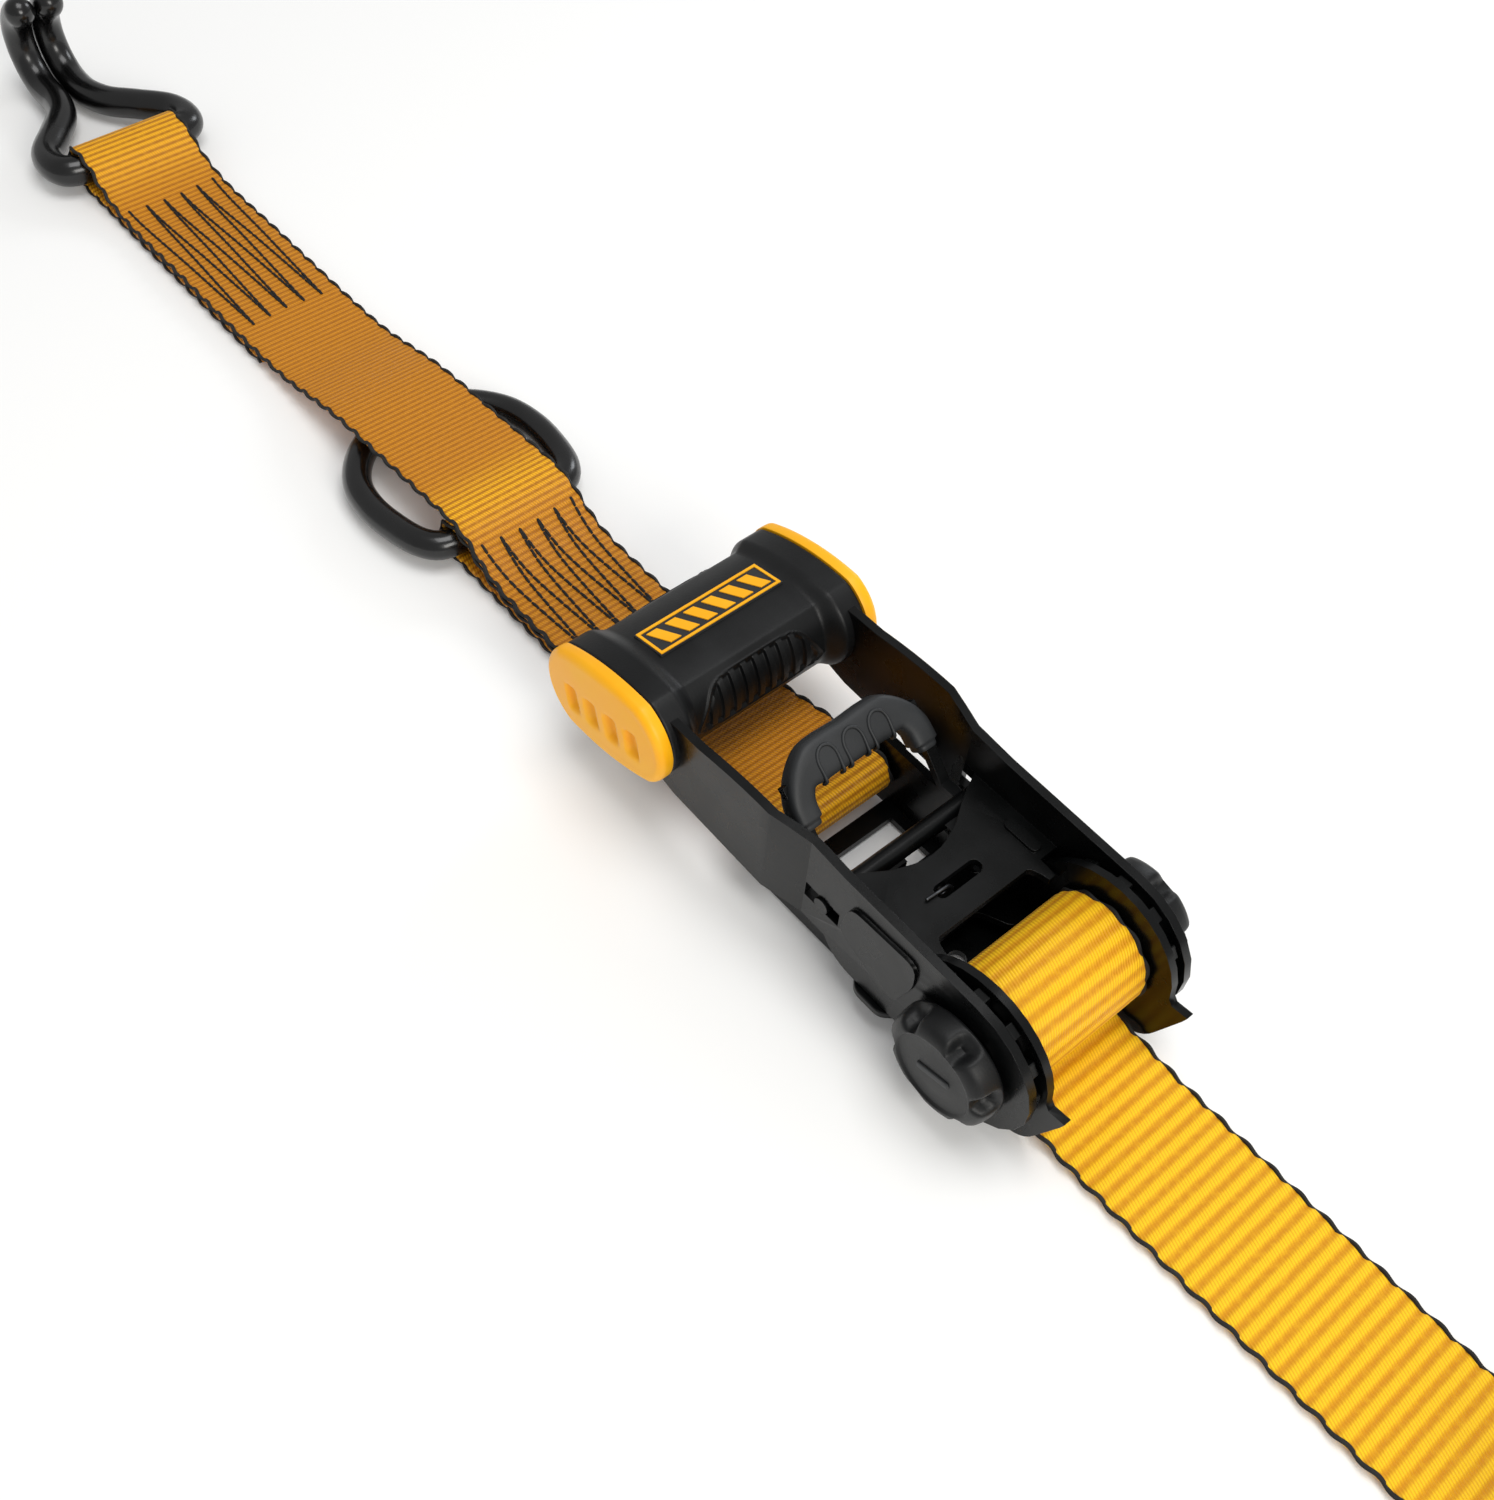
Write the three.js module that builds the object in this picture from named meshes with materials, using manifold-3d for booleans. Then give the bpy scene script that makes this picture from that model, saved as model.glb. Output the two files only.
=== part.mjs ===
// Ratchet strap for 38 mm webbing: a folded steel base and handle, two gears on a split mandrel,
// a drive pawl and a lock pawl, a stitched fixed strap with a D-ring and a double-J hook, and the main strap.
// Millimetres, +Z up. X runs along the strap from the fixed hook to the free hook and Y along the axle.
// The origin is on the underside of the base's floor plate, which rests at Z = 0.
import * as THREE from 'three';
import { mergeVertices } from 'three/addons/utils/BufferGeometryUtils.js';
import Module from 'manifold-3d';

const wasm = await Module();
wasm.setup();

// ---- driving dimensions ----
const WEB_WIDTH = 38;            // polyester webbing, 1.5 in
const WEB_THICK = 1.9;
const GAP = 0.3;                 // running gap kept between neighbouring pieces
const AXLE_X = 42;
const AXLE_Z = 23;
const BOLT_X = -35;              // bolt that holds the fixed strap
const BOLT_Z = 13;
const GRIP_ROD_X = -80;
const GRIP_ROD_Z = 33.3;
const BASE_INNER = 20.3;         // half the space between the base's side plates
const BASE_SHEET = 2.2;
const BASE_ROUND = 22;
const GEAR_INNER = 22.9;
const GEAR_SHEET = 2.2;
const GEAR_TEETH = 12;
const GEAR_TIP = 20.5;
const GEAR_ROOT = 16;
const GEAR_PHASE = 169.8;        // degrees from +X to the middle of one tooth gap
const GEAR_GAP_TIP = 19;         // width of a tooth gap in degrees, at the tips and at the root
const GEAR_GAP_ROOT = 16.5;
const HANDLE_INNER = 25.5;       // half the space between the handle's side plates, at the axle
const HANDLE_SHEET = 2.5;
const HANDLE_JOGGLE = 3;         // how far each side plate steps outward towards the grip
const HANDLE_ROUND = 21.6;
const HANDLE_WEB_Z = 30.2;       // underside of the plate that joins the two sides
const HANDLE_WEB_SHEET = 2.3;
const MANDREL_R = 7.8;
const MANDREL_SLOT = 1.2;        // half the slot between the two mandrel bars
const MANDREL_END = 33;
const SPOOL_R = 16.5;
const KNOB_R = 15.5;
const KNOB_INNER = 29.4;
const KNOB_OUTER = 37.6;
const PAWL_SHEET = 2.4;
const BAR_X = -6;                // rolled bar of the drive pawl
const BAR_Z = 27;
const BAR_R = 2.7;
const BAR_NECK_R = 2.3;
const LOCK_Z = 7;                // underside of the lock pawl
const LOCK_SHEET = 2.3;
const PULL_HALF = 23.6;            // finger pull: half width, length and thickness
const PULL_LENGTH = 20;
const PULL_THICK = 7;
const PULL_ROOT = [-20.5, 34.5];
const PULL_SLOPE = 43.7;
const FLANGE_Y = 25;
const CAP_INNER = 33.3;
const CAP_OUTER = 38;
const RING_BAR_X = -174;
const RING_BAR_Z = 6.7;
const RING_WIRE = 4.4;
const RING_TAIL_X = -229;
const HOOK_BAR_X = -394;
const HOOK_BAR_Z = 7.5;
const HOOK_WIRE = 5.2;
const HOOK_PAIR = 5.4;           // each J's distance from the middle plane
const HOOK_BEND = 15;
const HANK_START = 205;
const HANK_END = 497;
const HANK_FLOOR = 1.7;
const HANK_TOP = 34.7;
const FREE_BAR_X = 400;
const ARC_STEPS = 4;             // segments per curve of an extruded outline (an arc takes twice as many)

const PI = Math.PI;
const degrees = (angle) => angle * PI / 180;

// ---- solids and booleans ----
function toManifold(geometry) {
  const bare = geometry.clone();
  bare.deleteAttribute('normal');
  bare.deleteAttribute('uv');
  const merged = mergeVertices(bare, 1e-4);
  const vertProperties = new Float32Array(merged.attributes.position.array);
  const triVerts = new Uint32Array(merged.index.array);
  return new wasm.Manifold(new wasm.Mesh({ numProp: 3, vertProperties, triVerts }));
}

function toGeometry(manifold) {
  const mesh = manifold.getMesh();
  const geometry = new THREE.BufferGeometry();
  geometry.setAttribute('position', new THREE.BufferAttribute(new Float32Array(mesh.vertProperties), 3));
  geometry.setIndex(new THREE.BufferAttribute(new Uint32Array(mesh.triVerts), 1));
  geometry.computeVertexNormals();
  return geometry;
}

const union = (first, ...rest) => rest.reduce((sum, item) => sum.add(item), first);
const cut = (first, ...rest) => rest.reduce((left, item) => left.subtract(item), first);

// Extrudes an outline drawn in X and Y from z0 to z1.
function prismZ(shape, z0, z1, segments = ARC_STEPS) {
  const geometry = new THREE.ExtrudeGeometry(shape, { depth: z1 - z0, bevelEnabled: false, curveSegments: segments });
  geometry.translate(0, 0, z0);
  return toManifold(geometry);
}

// Extrudes an outline drawn in X and Z from y0 to y1.
function prismY(shape, y0, y1, segments = ARC_STEPS) {
  const geometry = new THREE.ExtrudeGeometry(shape, { depth: y1 - y0, bevelEnabled: false, curveSegments: segments });
  geometry.rotateX(PI / 2);
  geometry.translate(0, y1, 0);
  return toManifold(geometry);
}

// Extrudes an outline drawn in Y and Z from x0 to x1.
function prismX(shape, x0, x1, segments = ARC_STEPS) {
  const geometry = new THREE.ExtrudeGeometry(shape, { depth: x1 - x0, bevelEnabled: false, curveSegments: segments });
  const turn = new THREE.Matrix4().set(0, 0, 1, x0, 1, 0, 0, 0, 0, 1, 0, 0, 0, 0, 0, 1);
  geometry.applyMatrix4(turn);
  return toManifold(geometry);
}

function block(x0, x1, y0, y1, z0, z1) {
  const geometry = new THREE.BoxGeometry(x1 - x0, y1 - y0, z1 - z0);
  geometry.translate((x0 + x1) / 2, (y0 + y1) / 2, (z0 + z1) / 2);
  return toManifold(geometry);
}

// Cylinder along Y about the point (x, z).
function rodY(radius, y0, y1, x, z, sides = 28) {
  const geometry = new THREE.CylinderGeometry(radius, radius, y1 - y0, sides);
  geometry.translate(x, (y0 + y1) / 2, z);
  return toManifold(geometry);
}

function rodZ(radius, z0, z1, x, y, sides = 24) {
  const geometry = new THREE.CylinderGeometry(radius, radius, z1 - z0, sides);
  geometry.rotateX(PI / 2);
  geometry.translate(x, y, (z0 + z1) / 2);
  return toManifold(geometry);
}

function polygon(points) {
  const shape = new THREE.Shape();
  shape.moveTo(points[0][0], points[0][1]);
  for (const [x, y] of points.slice(1)) {
    shape.lineTo(x, y);
  }
  shape.closePath();
  return shape;
}

// Polygon whose corners are rounded off; each point is [x, y, radius].
function roundedPolygon(points) {
  const shape = new THREE.Shape();
  const count = points.length;
  for (let i = 0; i < count; i++) {
    const corner = new THREE.Vector2(points[i][0], points[i][1]);
    const before = points[(i + count - 1) % count];
    const after = points[(i + 1) % count];
    const radius = points[i][2] ?? 0;
    const toBefore = new THREE.Vector2(before[0], before[1]).sub(corner).normalize().multiplyScalar(radius);
    const toAfter = new THREE.Vector2(after[0], after[1]).sub(corner).normalize().multiplyScalar(radius);
    const start = corner.clone().add(toBefore);
    const end = corner.clone().add(toAfter);
    if (i === 0) {
      shape.moveTo(start.x, start.y);
    } else {
      shape.lineTo(start.x, start.y);
    }
    if (radius > 0) {
      shape.quadraticCurveTo(corner.x, corner.y, end.x, end.y);
    }
  }
  shape.closePath();
  return shape;
}

// Round bar of wire along a smooth line through the given points.
function wire(points, radius, steps, sides = 10, tension = 'centripetal') {
  const path = new THREE.CatmullRomCurve3(points.map((p) => new THREE.Vector3(...p)), false, tension);
  const section = new THREE.Shape();
  section.absarc(0, 0, radius, 0, 2 * PI, false);
  const geometry = new THREE.ExtrudeGeometry(section, {
    steps, extrudePath: path, bevelEnabled: false, curveSegments: sides / 2,
  });
  return toManifold(geometry);
}

function ball(radius, x, y, z) {
  const geometry = new THREE.SphereGeometry(radius, 8, 6);
  geometry.translate(x, y, z);
  return toManifold(geometry);
}

// Strip of webbing whose middle line runs through the given [x, z] points, across the full width.
function band(points, thick = WEB_THICK, half = WEB_WIDTH / 2, steps = 24) {
  const line = new THREE.SplineCurve(points.map(([x, z]) => new THREE.Vector2(x, z)));
  const upper = [];
  const lower = [];
  for (let i = 0; i <= steps; i++) {
    const at = line.getPointAt(i / steps);
    const along = line.getTangentAt(i / steps);
    const side = new THREE.Vector2(-along.y, along.x).multiplyScalar(thick / 2);
    upper.push([at.x + side.x, at.y + side.y]);
    lower.push([at.x - side.x, at.y - side.y]);
  }
  return prismY(polygon([...upper, ...lower.reverse()]), -half, half);
}

// Half ring of webbing round a bar, open towards +X or -X.
function bandLoop(x, z, inner, opensTo, half = WEB_WIDTH / 2) {
  const start = opensTo > 0 ? PI / 2 : -PI / 2;
  const shape = new THREE.Shape();
  shape.absarc(x, z, inner + WEB_THICK, start, start + PI, false);
  shape.absarc(x, z, inner, start + PI, start, true);
  shape.closePath();
  return prismY(shape, -half, half, 8);
}

const mirrorY = (manifold) => manifold.mirror([0, 1, 0]);

function hexagon(flats, x, z) {
  const corners = [];
  for (let i = 0; i < 6; i++) {
    const angle = i * PI / 3;
    corners.push([x + flats / Math.sqrt(3) * Math.cos(angle), z + flats / Math.sqrt(3) * Math.sin(angle)]);
  }
  return polygon(corners);
}

// ---- base ----
function baseSideOutline() {
  const shape = new THREE.Shape();
  const endR = 12;
  shape.moveTo(BOLT_X, 0);
  shape.absarc(BOLT_X, endR, endR, -PI / 2, PI / 2, true);
  shape.lineTo(AXLE_X - BASE_ROUND + 0.1, 2 * endR);
  shape.absarc(AXLE_X, AXLE_Z, BASE_ROUND, PI - 0.04, 0.04, true);
  shape.lineTo(AXLE_X + 23.2, AXLE_Z - 0.6);
  shape.lineTo(AXLE_X + 28, AXLE_Z);
  shape.lineTo(AXLE_X + 27.2, AXLE_Z - 2.6);
  shape.lineTo(AXLE_X + 22.4, AXLE_Z - 15);
  shape.quadraticCurveTo(AXLE_X + 19.5, 0, AXLE_X + 12, 0);
  shape.closePath();
  return shape;
}

function makeBaseFrame() {
  const outer = BASE_INNER + BASE_SHEET;
  const side = prismY(baseSideOutline(), BASE_INNER, outer, 7);
  const floorPlate = block(-30, 30, -outer, outer, 0, BASE_SHEET);
  const springStop = block(-9.8, -7.8, -5, 5, 0, 12.5);
  const window = block(-24.6, -9.8, -17, 17, -1, 4);
  const drainHole = rodZ(2.6, -1, 4, 17.5, 0);
  const lockSlot = block(1.2, 23, -30, 30, LOCK_Z - 0.7, LOCK_Z + LOCK_SHEET + 0.7);
  const frame = union(side, mirrorY(side), floorPlate, springStop);
  return cut(
    frame, window, drainHole, lockSlot,
    rodY(3 + GAP, -30, 30, BOLT_X, BOLT_Z), rodY(MANDREL_R + GAP, -30, 30, AXLE_X, AXLE_Z, 24),
  );
}

function makeFixedBolt() {
  const outer = BASE_INNER + BASE_SHEET;
  const head = prismY(hexagon(10, BOLT_X, BOLT_Z), -outer - GAP - 4, -outer - GAP);
  return union(head, rodY(3, -outer - GAP - 1, outer + 5, BOLT_X, BOLT_Z, 24));
}

function makeBoltNut() {
  const outer = BASE_INNER + BASE_SHEET + GAP;
  return cut(prismY(hexagon(10, BOLT_X, BOLT_Z), outer, outer + 4), rodY(3 + GAP, 0, 40, BOLT_X, BOLT_Z, 24));
}

function makeBoltSleeve() {
  const half = BASE_INNER - GAP;
  return cut(rodY(4.5, -half, half, BOLT_X, BOLT_Z, 28), rodY(3 + GAP, -40, 40, BOLT_X, BOLT_Z, 24));
}

function makeLockPawl() {
  const tooth0 = GEAR_INNER;
  const tooth1 = GEAR_INNER + GEAR_SHEET;
  const half = [
    [-2, 0], [-2, 13, 3], [6, 19.6, 2], [6, 26, 1.5], [9.5, 29.5, 2], [18.5, 29.5, 2], [22.5, tooth1, 1],
    [31.5, tooth1], [31.5, tooth0], [22, tooth0], [22, 14, 2], [13, 10, 2], [13, 0],
  ];
  const other = half.slice(1, -1).reverse().map(([x, y, r]) => [x, -y, r]);
  return prismZ(roundedPolygon([...half, ...other]), LOCK_Z, LOCK_Z + LOCK_SHEET, 5);
}

// Coil along X made of round wire, from x0 to x1 about the line (y, z).
function coilPoints(x0, x1, y, z, radius, turns) {
  const perTurn = 8;
  const points = [];
  for (let i = 0; i <= turns * perTurn; i++) {
    const angle = 2 * PI * i / perTurn;
    const along = x0 + (x1 - x0) * i / (turns * perTurn);
    points.push([along, y + radius * Math.cos(angle), z + radius * Math.sin(angle)]);
  }
  return points;
}

function makeLockSpring() {
  const points = coilPoints(-7, -2.8, 0, LOCK_Z + LOCK_SHEET / 2, 3, 3);
  return wire(points, 0.4, 24, 6);
}

// ---- rotating spool ----
function makeMandrelHalf(side) {
  const shape = new THREE.Shape();
  const start = Math.asin(MANDREL_SLOT / MANDREL_R);
  shape.absarc(0, 0, MANDREL_R, start, PI - start, false);
  shape.closePath();
  const bar = prismY(shape, -MANDREL_END, MANDREL_END, 8);
  const placed = side > 0 ? bar : bar.mirror([0, 0, 1]);
  return placed.translate([AXLE_X, 0, AXLE_Z]);
}

function gearOutline() {
  const points = [];
  const pitch = 360 / GEAR_TEETH;
  for (let i = 0; i < GEAR_TEETH; i++) {
    const middle = GEAR_PHASE + i * pitch;
    const corners = [
      [GEAR_TIP, -GEAR_GAP_TIP / 2], [GEAR_ROOT, -GEAR_GAP_ROOT / 2], [GEAR_ROOT, GEAR_GAP_ROOT / 2],
      [GEAR_TIP, GEAR_GAP_TIP / 2],
    ];
    for (const [radius, offset] of corners) {
      const angle = degrees(middle + offset);
      points.push([AXLE_X + radius * Math.cos(angle), AXLE_Z + radius * Math.sin(angle)]);
    }
  }
  return polygon(points);
}

function makeGear() {
  const outer = GEAR_INNER + GEAR_SHEET;
  const plate = prismY(gearOutline(), GEAR_INNER, outer);
  const bore = rodY(MANDREL_R + GAP, 0, 40, AXLE_X, AXLE_Z, 24);
  const key = block(AXLE_X - 12, AXLE_X + 12, GEAR_INNER, outer, AXLE_Z - MANDREL_SLOT + GAP, AXLE_Z + MANDREL_SLOT - GAP);
  return union(cut(plate, bore), key.intersect(rodY(MANDREL_R + 1, 0, 40, AXLE_X, AXLE_Z, 24)));
}

function makeWasher() {
  const inner = HANDLE_INNER + HANDLE_SHEET + GAP;
  return cut(rodY(12.5, inner, inner + 0.8, AXLE_X, AXLE_Z, 28), rodY(MANDREL_R + GAP, 0, 60, AXLE_X, AXLE_Z, 28));
}

function makeKnob() {
  const lip = rodY(KNOB_R, KNOB_INNER, KNOB_OUTER - 1.5, AXLE_X, AXLE_Z, 28);
  const face = rodY(KNOB_R - 2, KNOB_INNER + 1, KNOB_OUTER, AXLE_X, AXLE_Z, 28);
  const scallops = [];
  for (let i = 0; i < 6; i++) {
    const angle = degrees(30 + 60 * i);
    const x = AXLE_X + (KNOB_R + 1) * Math.cos(angle);
    const z = AXLE_Z + (KNOB_R + 1) * Math.sin(angle);
    scallops.push(rodY(3.6, KNOB_INNER + 2, KNOB_OUTER + 1, x, z, 12));
  }
  const bore = rodY(MANDREL_R + GAP, 0, MANDREL_END + 0.5, AXLE_X, AXLE_Z, 24);
  const screwHole = rodZ(1.5, AXLE_Z + 5, AXLE_Z + KNOB_R + 1, AXLE_X, 32.3, 14);
  return cut(union(lip, face), ...scallops, bore, screwHole);
}

function makeKnobScrew() {
  return rodZ(1.2, AXLE_Z + MANDREL_R + GAP, AXLE_Z + KNOB_R - 1.5, AXLE_X, 32.3, 14);
}

function makeWoundWeb() {
  const half = WEB_WIDTH / 2;
  const roll = rodY(SPOOL_R, -half, half, AXLE_X, AXLE_Z, 28);
  return cut(roll, rodY(MANDREL_R + GAP, -30, 30, AXLE_X, AXLE_Z, 28));
}

// ---- handle ----
function handlePlan() {
  const inner = HANDLE_INNER;
  const outer = HANDLE_INNER + HANDLE_SHEET;
  const step = HANDLE_JOGGLE;
  return polygon([
    [70, inner], [70, outer], [-12.4, outer], [-24.4, outer + step], [-100, outer + step],
    [-100, inner + step], [-24, inner + step], [-12, inner],
  ]);
}

function handleSideOutline() {
  const shape = new THREE.Shape();
  const endX = GRIP_ROD_X + 2;
  const top = AXLE_Z + HANDLE_ROUND;
  shape.moveTo(AXLE_X, top);
  shape.absarc(AXLE_X, AXLE_Z, HANDLE_ROUND, PI / 2, -PI + 0.67, true);
  shape.lineTo(6, 9.7);
  shape.quadraticCurveTo(0, 9.9, -4, 15.6);
  shape.lineTo(-58, 18);
  shape.lineTo(endX, 22.8);
  shape.absarc(endX, GRIP_ROD_Z, 10.5, -PI / 2, PI / 2, true);
  shape.lineTo(-58, 45.4);
  shape.lineTo(-50, 45.6);
  shape.quadraticCurveTo(-30, 48.8, -14, 46.4);
  shape.lineTo(0, 45.2);
  shape.closePath();
  return shape;
}

function padOutline() {
  return roundedPolygon([
    [1, 26, 3], [3, 38.5, 4], [25.3, 39.5, 4], [25.6, 31, 3], [21.5, 19.5, 2], [16.5, 18.8, 2],
  ]);
}

function handleWebOutline() {
  const rear = 20;
  const tab = 25.5;
  const shape = new THREE.Shape();
  const front = [[-9, 26.5], [-6, 20], [-3.8, 16], [-0.6, 11], [1.3, 6], [2.1, 3]];
  shape.moveTo(-9, -26.5);
  for (const [x, y] of front.slice(1)) {
    shape.lineTo(x, -y);
  }
  shape.lineTo(2.3, 0);
  for (const [x, y] of front.slice().reverse()) {
    shape.lineTo(x, y);
  }
  shape.lineTo(rear, 26.5);
  shape.lineTo(rear, 19.8);
  shape.lineTo(tab, 19.5);
  shape.lineTo(tab, 17.2);
  shape.quadraticCurveTo(rear + 1, 16.6, rear, 15);
  shape.lineTo(rear, -15);
  shape.quadraticCurveTo(rear + 1, -16.6, tab, -17.2);
  shape.lineTo(tab, -19.5);
  shape.lineTo(rear, -19.8);
  shape.lineTo(rear, -26.5);
  shape.closePath();
  return shape;
}

function makeHandleSide() {
  const plan = prismZ(handlePlan(), -5, 60);
  const plate = plan.intersect(prismY(handleSideOutline(), 20, 40, 7));
  const outer = HANDLE_INNER + HANDLE_SHEET;
  const pad = prismY(padOutline(), outer - 0.2, outer + 1.1, 4);
  const slot = block(BAR_X - 6.2, BAR_X + 5.7, 20, 40, BAR_Z - 2.6, BAR_Z + 2.6);
  return cut(
    union(plate, pad), slot,
    rodY(MANDREL_R + GAP, 0, 60, AXLE_X, AXLE_Z, 24), rodY(5 + GAP, 0, 60, GRIP_ROD_X, GRIP_ROD_Z, 24),
  );
}

function makeHandleFrame() {
  const side = makeHandleSide();
  const webTop = HANDLE_WEB_Z + HANDLE_WEB_SHEET;
  const web = prismZ(handleWebOutline(), HANDLE_WEB_Z, webTop, 4);
  const slot = roundedPolygon([[9.3, -7.5, 2], [13.3, -7.5, 2], [13.3, 7.5, 2], [9.3, 7.5, 2]]);
  const rib = prismZ(roundedPolygon([[7, 19.4, 1.5], [18, 19.4, 1.5], [18, 22.8, 1.5], [7, 22.8, 1.5]]), webTop - 0.2, webTop + 1);
  const frame = union(side, mirrorY(side), web, rib, mirrorY(rib));
  return frame.subtract(prismZ(slot, 25, 40));
}

function makeGripRod() {
  const half = HANDLE_INNER + HANDLE_JOGGLE + HANDLE_SHEET + 0.8;
  return rodY(5, -half, half, GRIP_ROD_X, GRIP_ROD_Z, 24);
}

// Stadium whose two round ends have their centres at [x, z] points a and b.
function stadium(a, b, radius) {
  const tilt = Math.atan2(b[1] - a[1], b[0] - a[0]);
  const shape = new THREE.Shape();
  shape.absarc(a[0], a[1], radius, tilt + PI / 2, tilt + 3 * PI / 2, false);
  shape.absarc(b[0], b[1], radius, tilt - PI / 2, tilt + PI / 2, false);
  shape.closePath();
  return shape;
}

const FLANGE_A = [-89, 31];
const FLANGE_B = [-71, 35];
const FLANGE_R = 14.3;
const WAIST_A = [-86, 32];
const WAIST_B = [-74, 34.6];
const WAIST_R = 13.5;
const BADGE_TILT = Math.atan2(WAIST_B[1] - WAIST_A[1], WAIST_B[0] - WAIST_A[0]);

// Moves a solid drawn about the origin onto the flat top of the grip.
function ontoGripTop(manifold, lift) {
  const middle = [(WAIST_A[0] + WAIST_B[0]) / 2, (WAIST_A[1] + WAIST_B[1]) / 2];
  const reach = WAIST_R + lift;
  const x = middle[0] - reach * Math.sin(BADGE_TILT);
  const z = middle[1] + reach * Math.cos(BADGE_TILT);
  return manifold.rotate([0, -BADGE_TILT * 180 / PI, 0]).translate([x, 0, z]);
}

function makeGrip() {
  const waist = prismY(stadium(WAIST_A, WAIST_B, WAIST_R), -FLANGE_Y - 1, FLANGE_Y + 1, 7);
  const flange = prismY(stadium(FLANGE_A, FLANGE_B, FLANGE_R), FLANGE_Y, CAP_INNER - GAP, 7);
  const inner = HANDLE_INNER + HANDLE_JOGGLE - GAP;
  const outer = HANDLE_INNER + HANDLE_JOGGLE + HANDLE_SHEET + GAP;
  const endX = GRIP_ROD_X + 2;
  const pocketShape = new THREE.Shape();
  pocketShape.absarc(endX, GRIP_ROD_Z, 10.9, PI / 2, 3 * PI / 2, false);
  pocketShape.lineTo(-50, 15.6);
  pocketShape.lineTo(-50, 46.6);
  pocketShape.closePath();
  const pocket = prismY(pocketShape, inner, outer, 6);
  const badgeSeat = ontoGripTop(block(-5.6, 5.6, -20.6, 20.6, -1.2, 2), 0);
  const bore = rodY(5 + GAP, -32, 32, GRIP_ROD_X, GRIP_ROD_Z, 24);
  return cut(union(waist, flange, mirrorY(flange)), pocket, mirrorY(pocket), badgeSeat, bore);
}

function makeCap() {
  const body = prismY(stadium(FLANGE_A, FLANGE_B, FLANGE_R + 0.3), CAP_INNER, CAP_OUTER - 1.6, 8);
  const face = prismY(stadium(FLANGE_A, FLANGE_B, FLANGE_R - 1.6), CAP_INNER + 1, CAP_OUTER, 8);
  return union(body, face);
}

function makeBadge() {
  return ontoGripTop(block(-5.3, 5.3, -20.3, 20.3, -0.9, 0.3), 0);
}

// ---- drive pawl and finger pull ----
function makeDrivePawl() {
  const z0 = BAR_Z - PAWL_SHEET / 2;
  const z1 = BAR_Z + PAWL_SHEET / 2;
  const reach = HANDLE_INNER - 0.6;
  const bar = union(
    rodY(BAR_R, -reach, reach, BAR_X, BAR_Z, 20),
    rodY(BAR_NECK_R, -HANDLE_INNER - HANDLE_SHEET - 0.7, HANDLE_INNER + HANDLE_SHEET + 0.7, BAR_X, BAR_Z, 16),
  );
  const strip = block(12.6, 16.8, -reach, reach, z0, z1);
  const arms = [];
  const lifts = [];
  const liftLine = [[BAR_X, BAR_Z], [-13.5, BAR_Z], [-20.5, 34.5], [-30, 43.6]];
  for (const side of [1, -1]) {
    arms.push(block(BAR_X, 16.8, Math.min(side * 11, side * reach), Math.max(side * 11, side * reach), z0, z1));
    arms.push(block(15, 21.2, Math.min(side * GEAR_INNER, side * 25.1), Math.max(side * GEAR_INNER, side * 25.1), z0, z1));
    const lift = sheetPath(liftLine, PAWL_SHEET, 19, 22.2);
    lifts.push(side > 0 ? lift : mirrorY(lift));
  }
  return union(bar, strip, ...arms, ...lifts);
}

// Folded sheet whose middle line joins the given [x, z] points, from y0 to y1.
function sheetPath(points, thick, y0, y1) {
  const upper = [];
  const lower = [];
  points.forEach((point, i) => {
    const before = points[Math.max(i - 1, 0)];
    const after = points[Math.min(i + 1, points.length - 1)];
    const along = new THREE.Vector2(after[0] - before[0], after[1] - before[1]).normalize();
    upper.push([point[0] - along.y * thick / 2, point[1] + along.x * thick / 2]);
    lower.push([point[0] + along.y * thick / 2, point[1] - along.x * thick / 2]);
  });
  return prismY(polygon([...upper, ...lower.reverse()]), y0, y1);
}

function makeFingerPull() {
  const half = PULL_HALF;
  const inside = 13.5;
  const plan = roundedPolygon([
    [0, inside, 1], [0, half, 2], [-PULL_LENGTH, half, 10], [-PULL_LENGTH, -half, 10], [0, -half, 2], [0, -inside, 1],
    [-9, -inside, 3], [-9, inside, 3],
  ]);
  const loop = prismZ(plan, -PULL_THICK / 2, PULL_THICK / 2, 8);
  const placed = loop.rotate([0, PULL_SLOPE, 0]).translate([PULL_ROOT[0], 0, PULL_ROOT[1]]);
  const pocketLine = [[-13, 27.4], [-20.5, 34.5], [-31, 44.5]];
  const pocket = sheetPath(pocketLine, PAWL_SHEET + 2 * GAP, 18.7, 22.5);
  return cut(placed, pocket, mirrorY(pocket));
}

function makeDriveSpring() {
  const coil = coilPoints(3.4, 9.6, -2, 26.9, 2.1, 4);
  const last = coil[coil.length - 1];
  const hook = [
    [10.6, last[1] - 0.6, last[2] + 1], [11.3, -2.2, 29.5], [11.3, -2.8, 32], [11.4, -4.6, 33.3], [11.2, -8, 33.3],
    [11, -11, 33.3],
  ];
  return wire([...coil, ...hook], 0.45, 48, 6);
}

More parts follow.
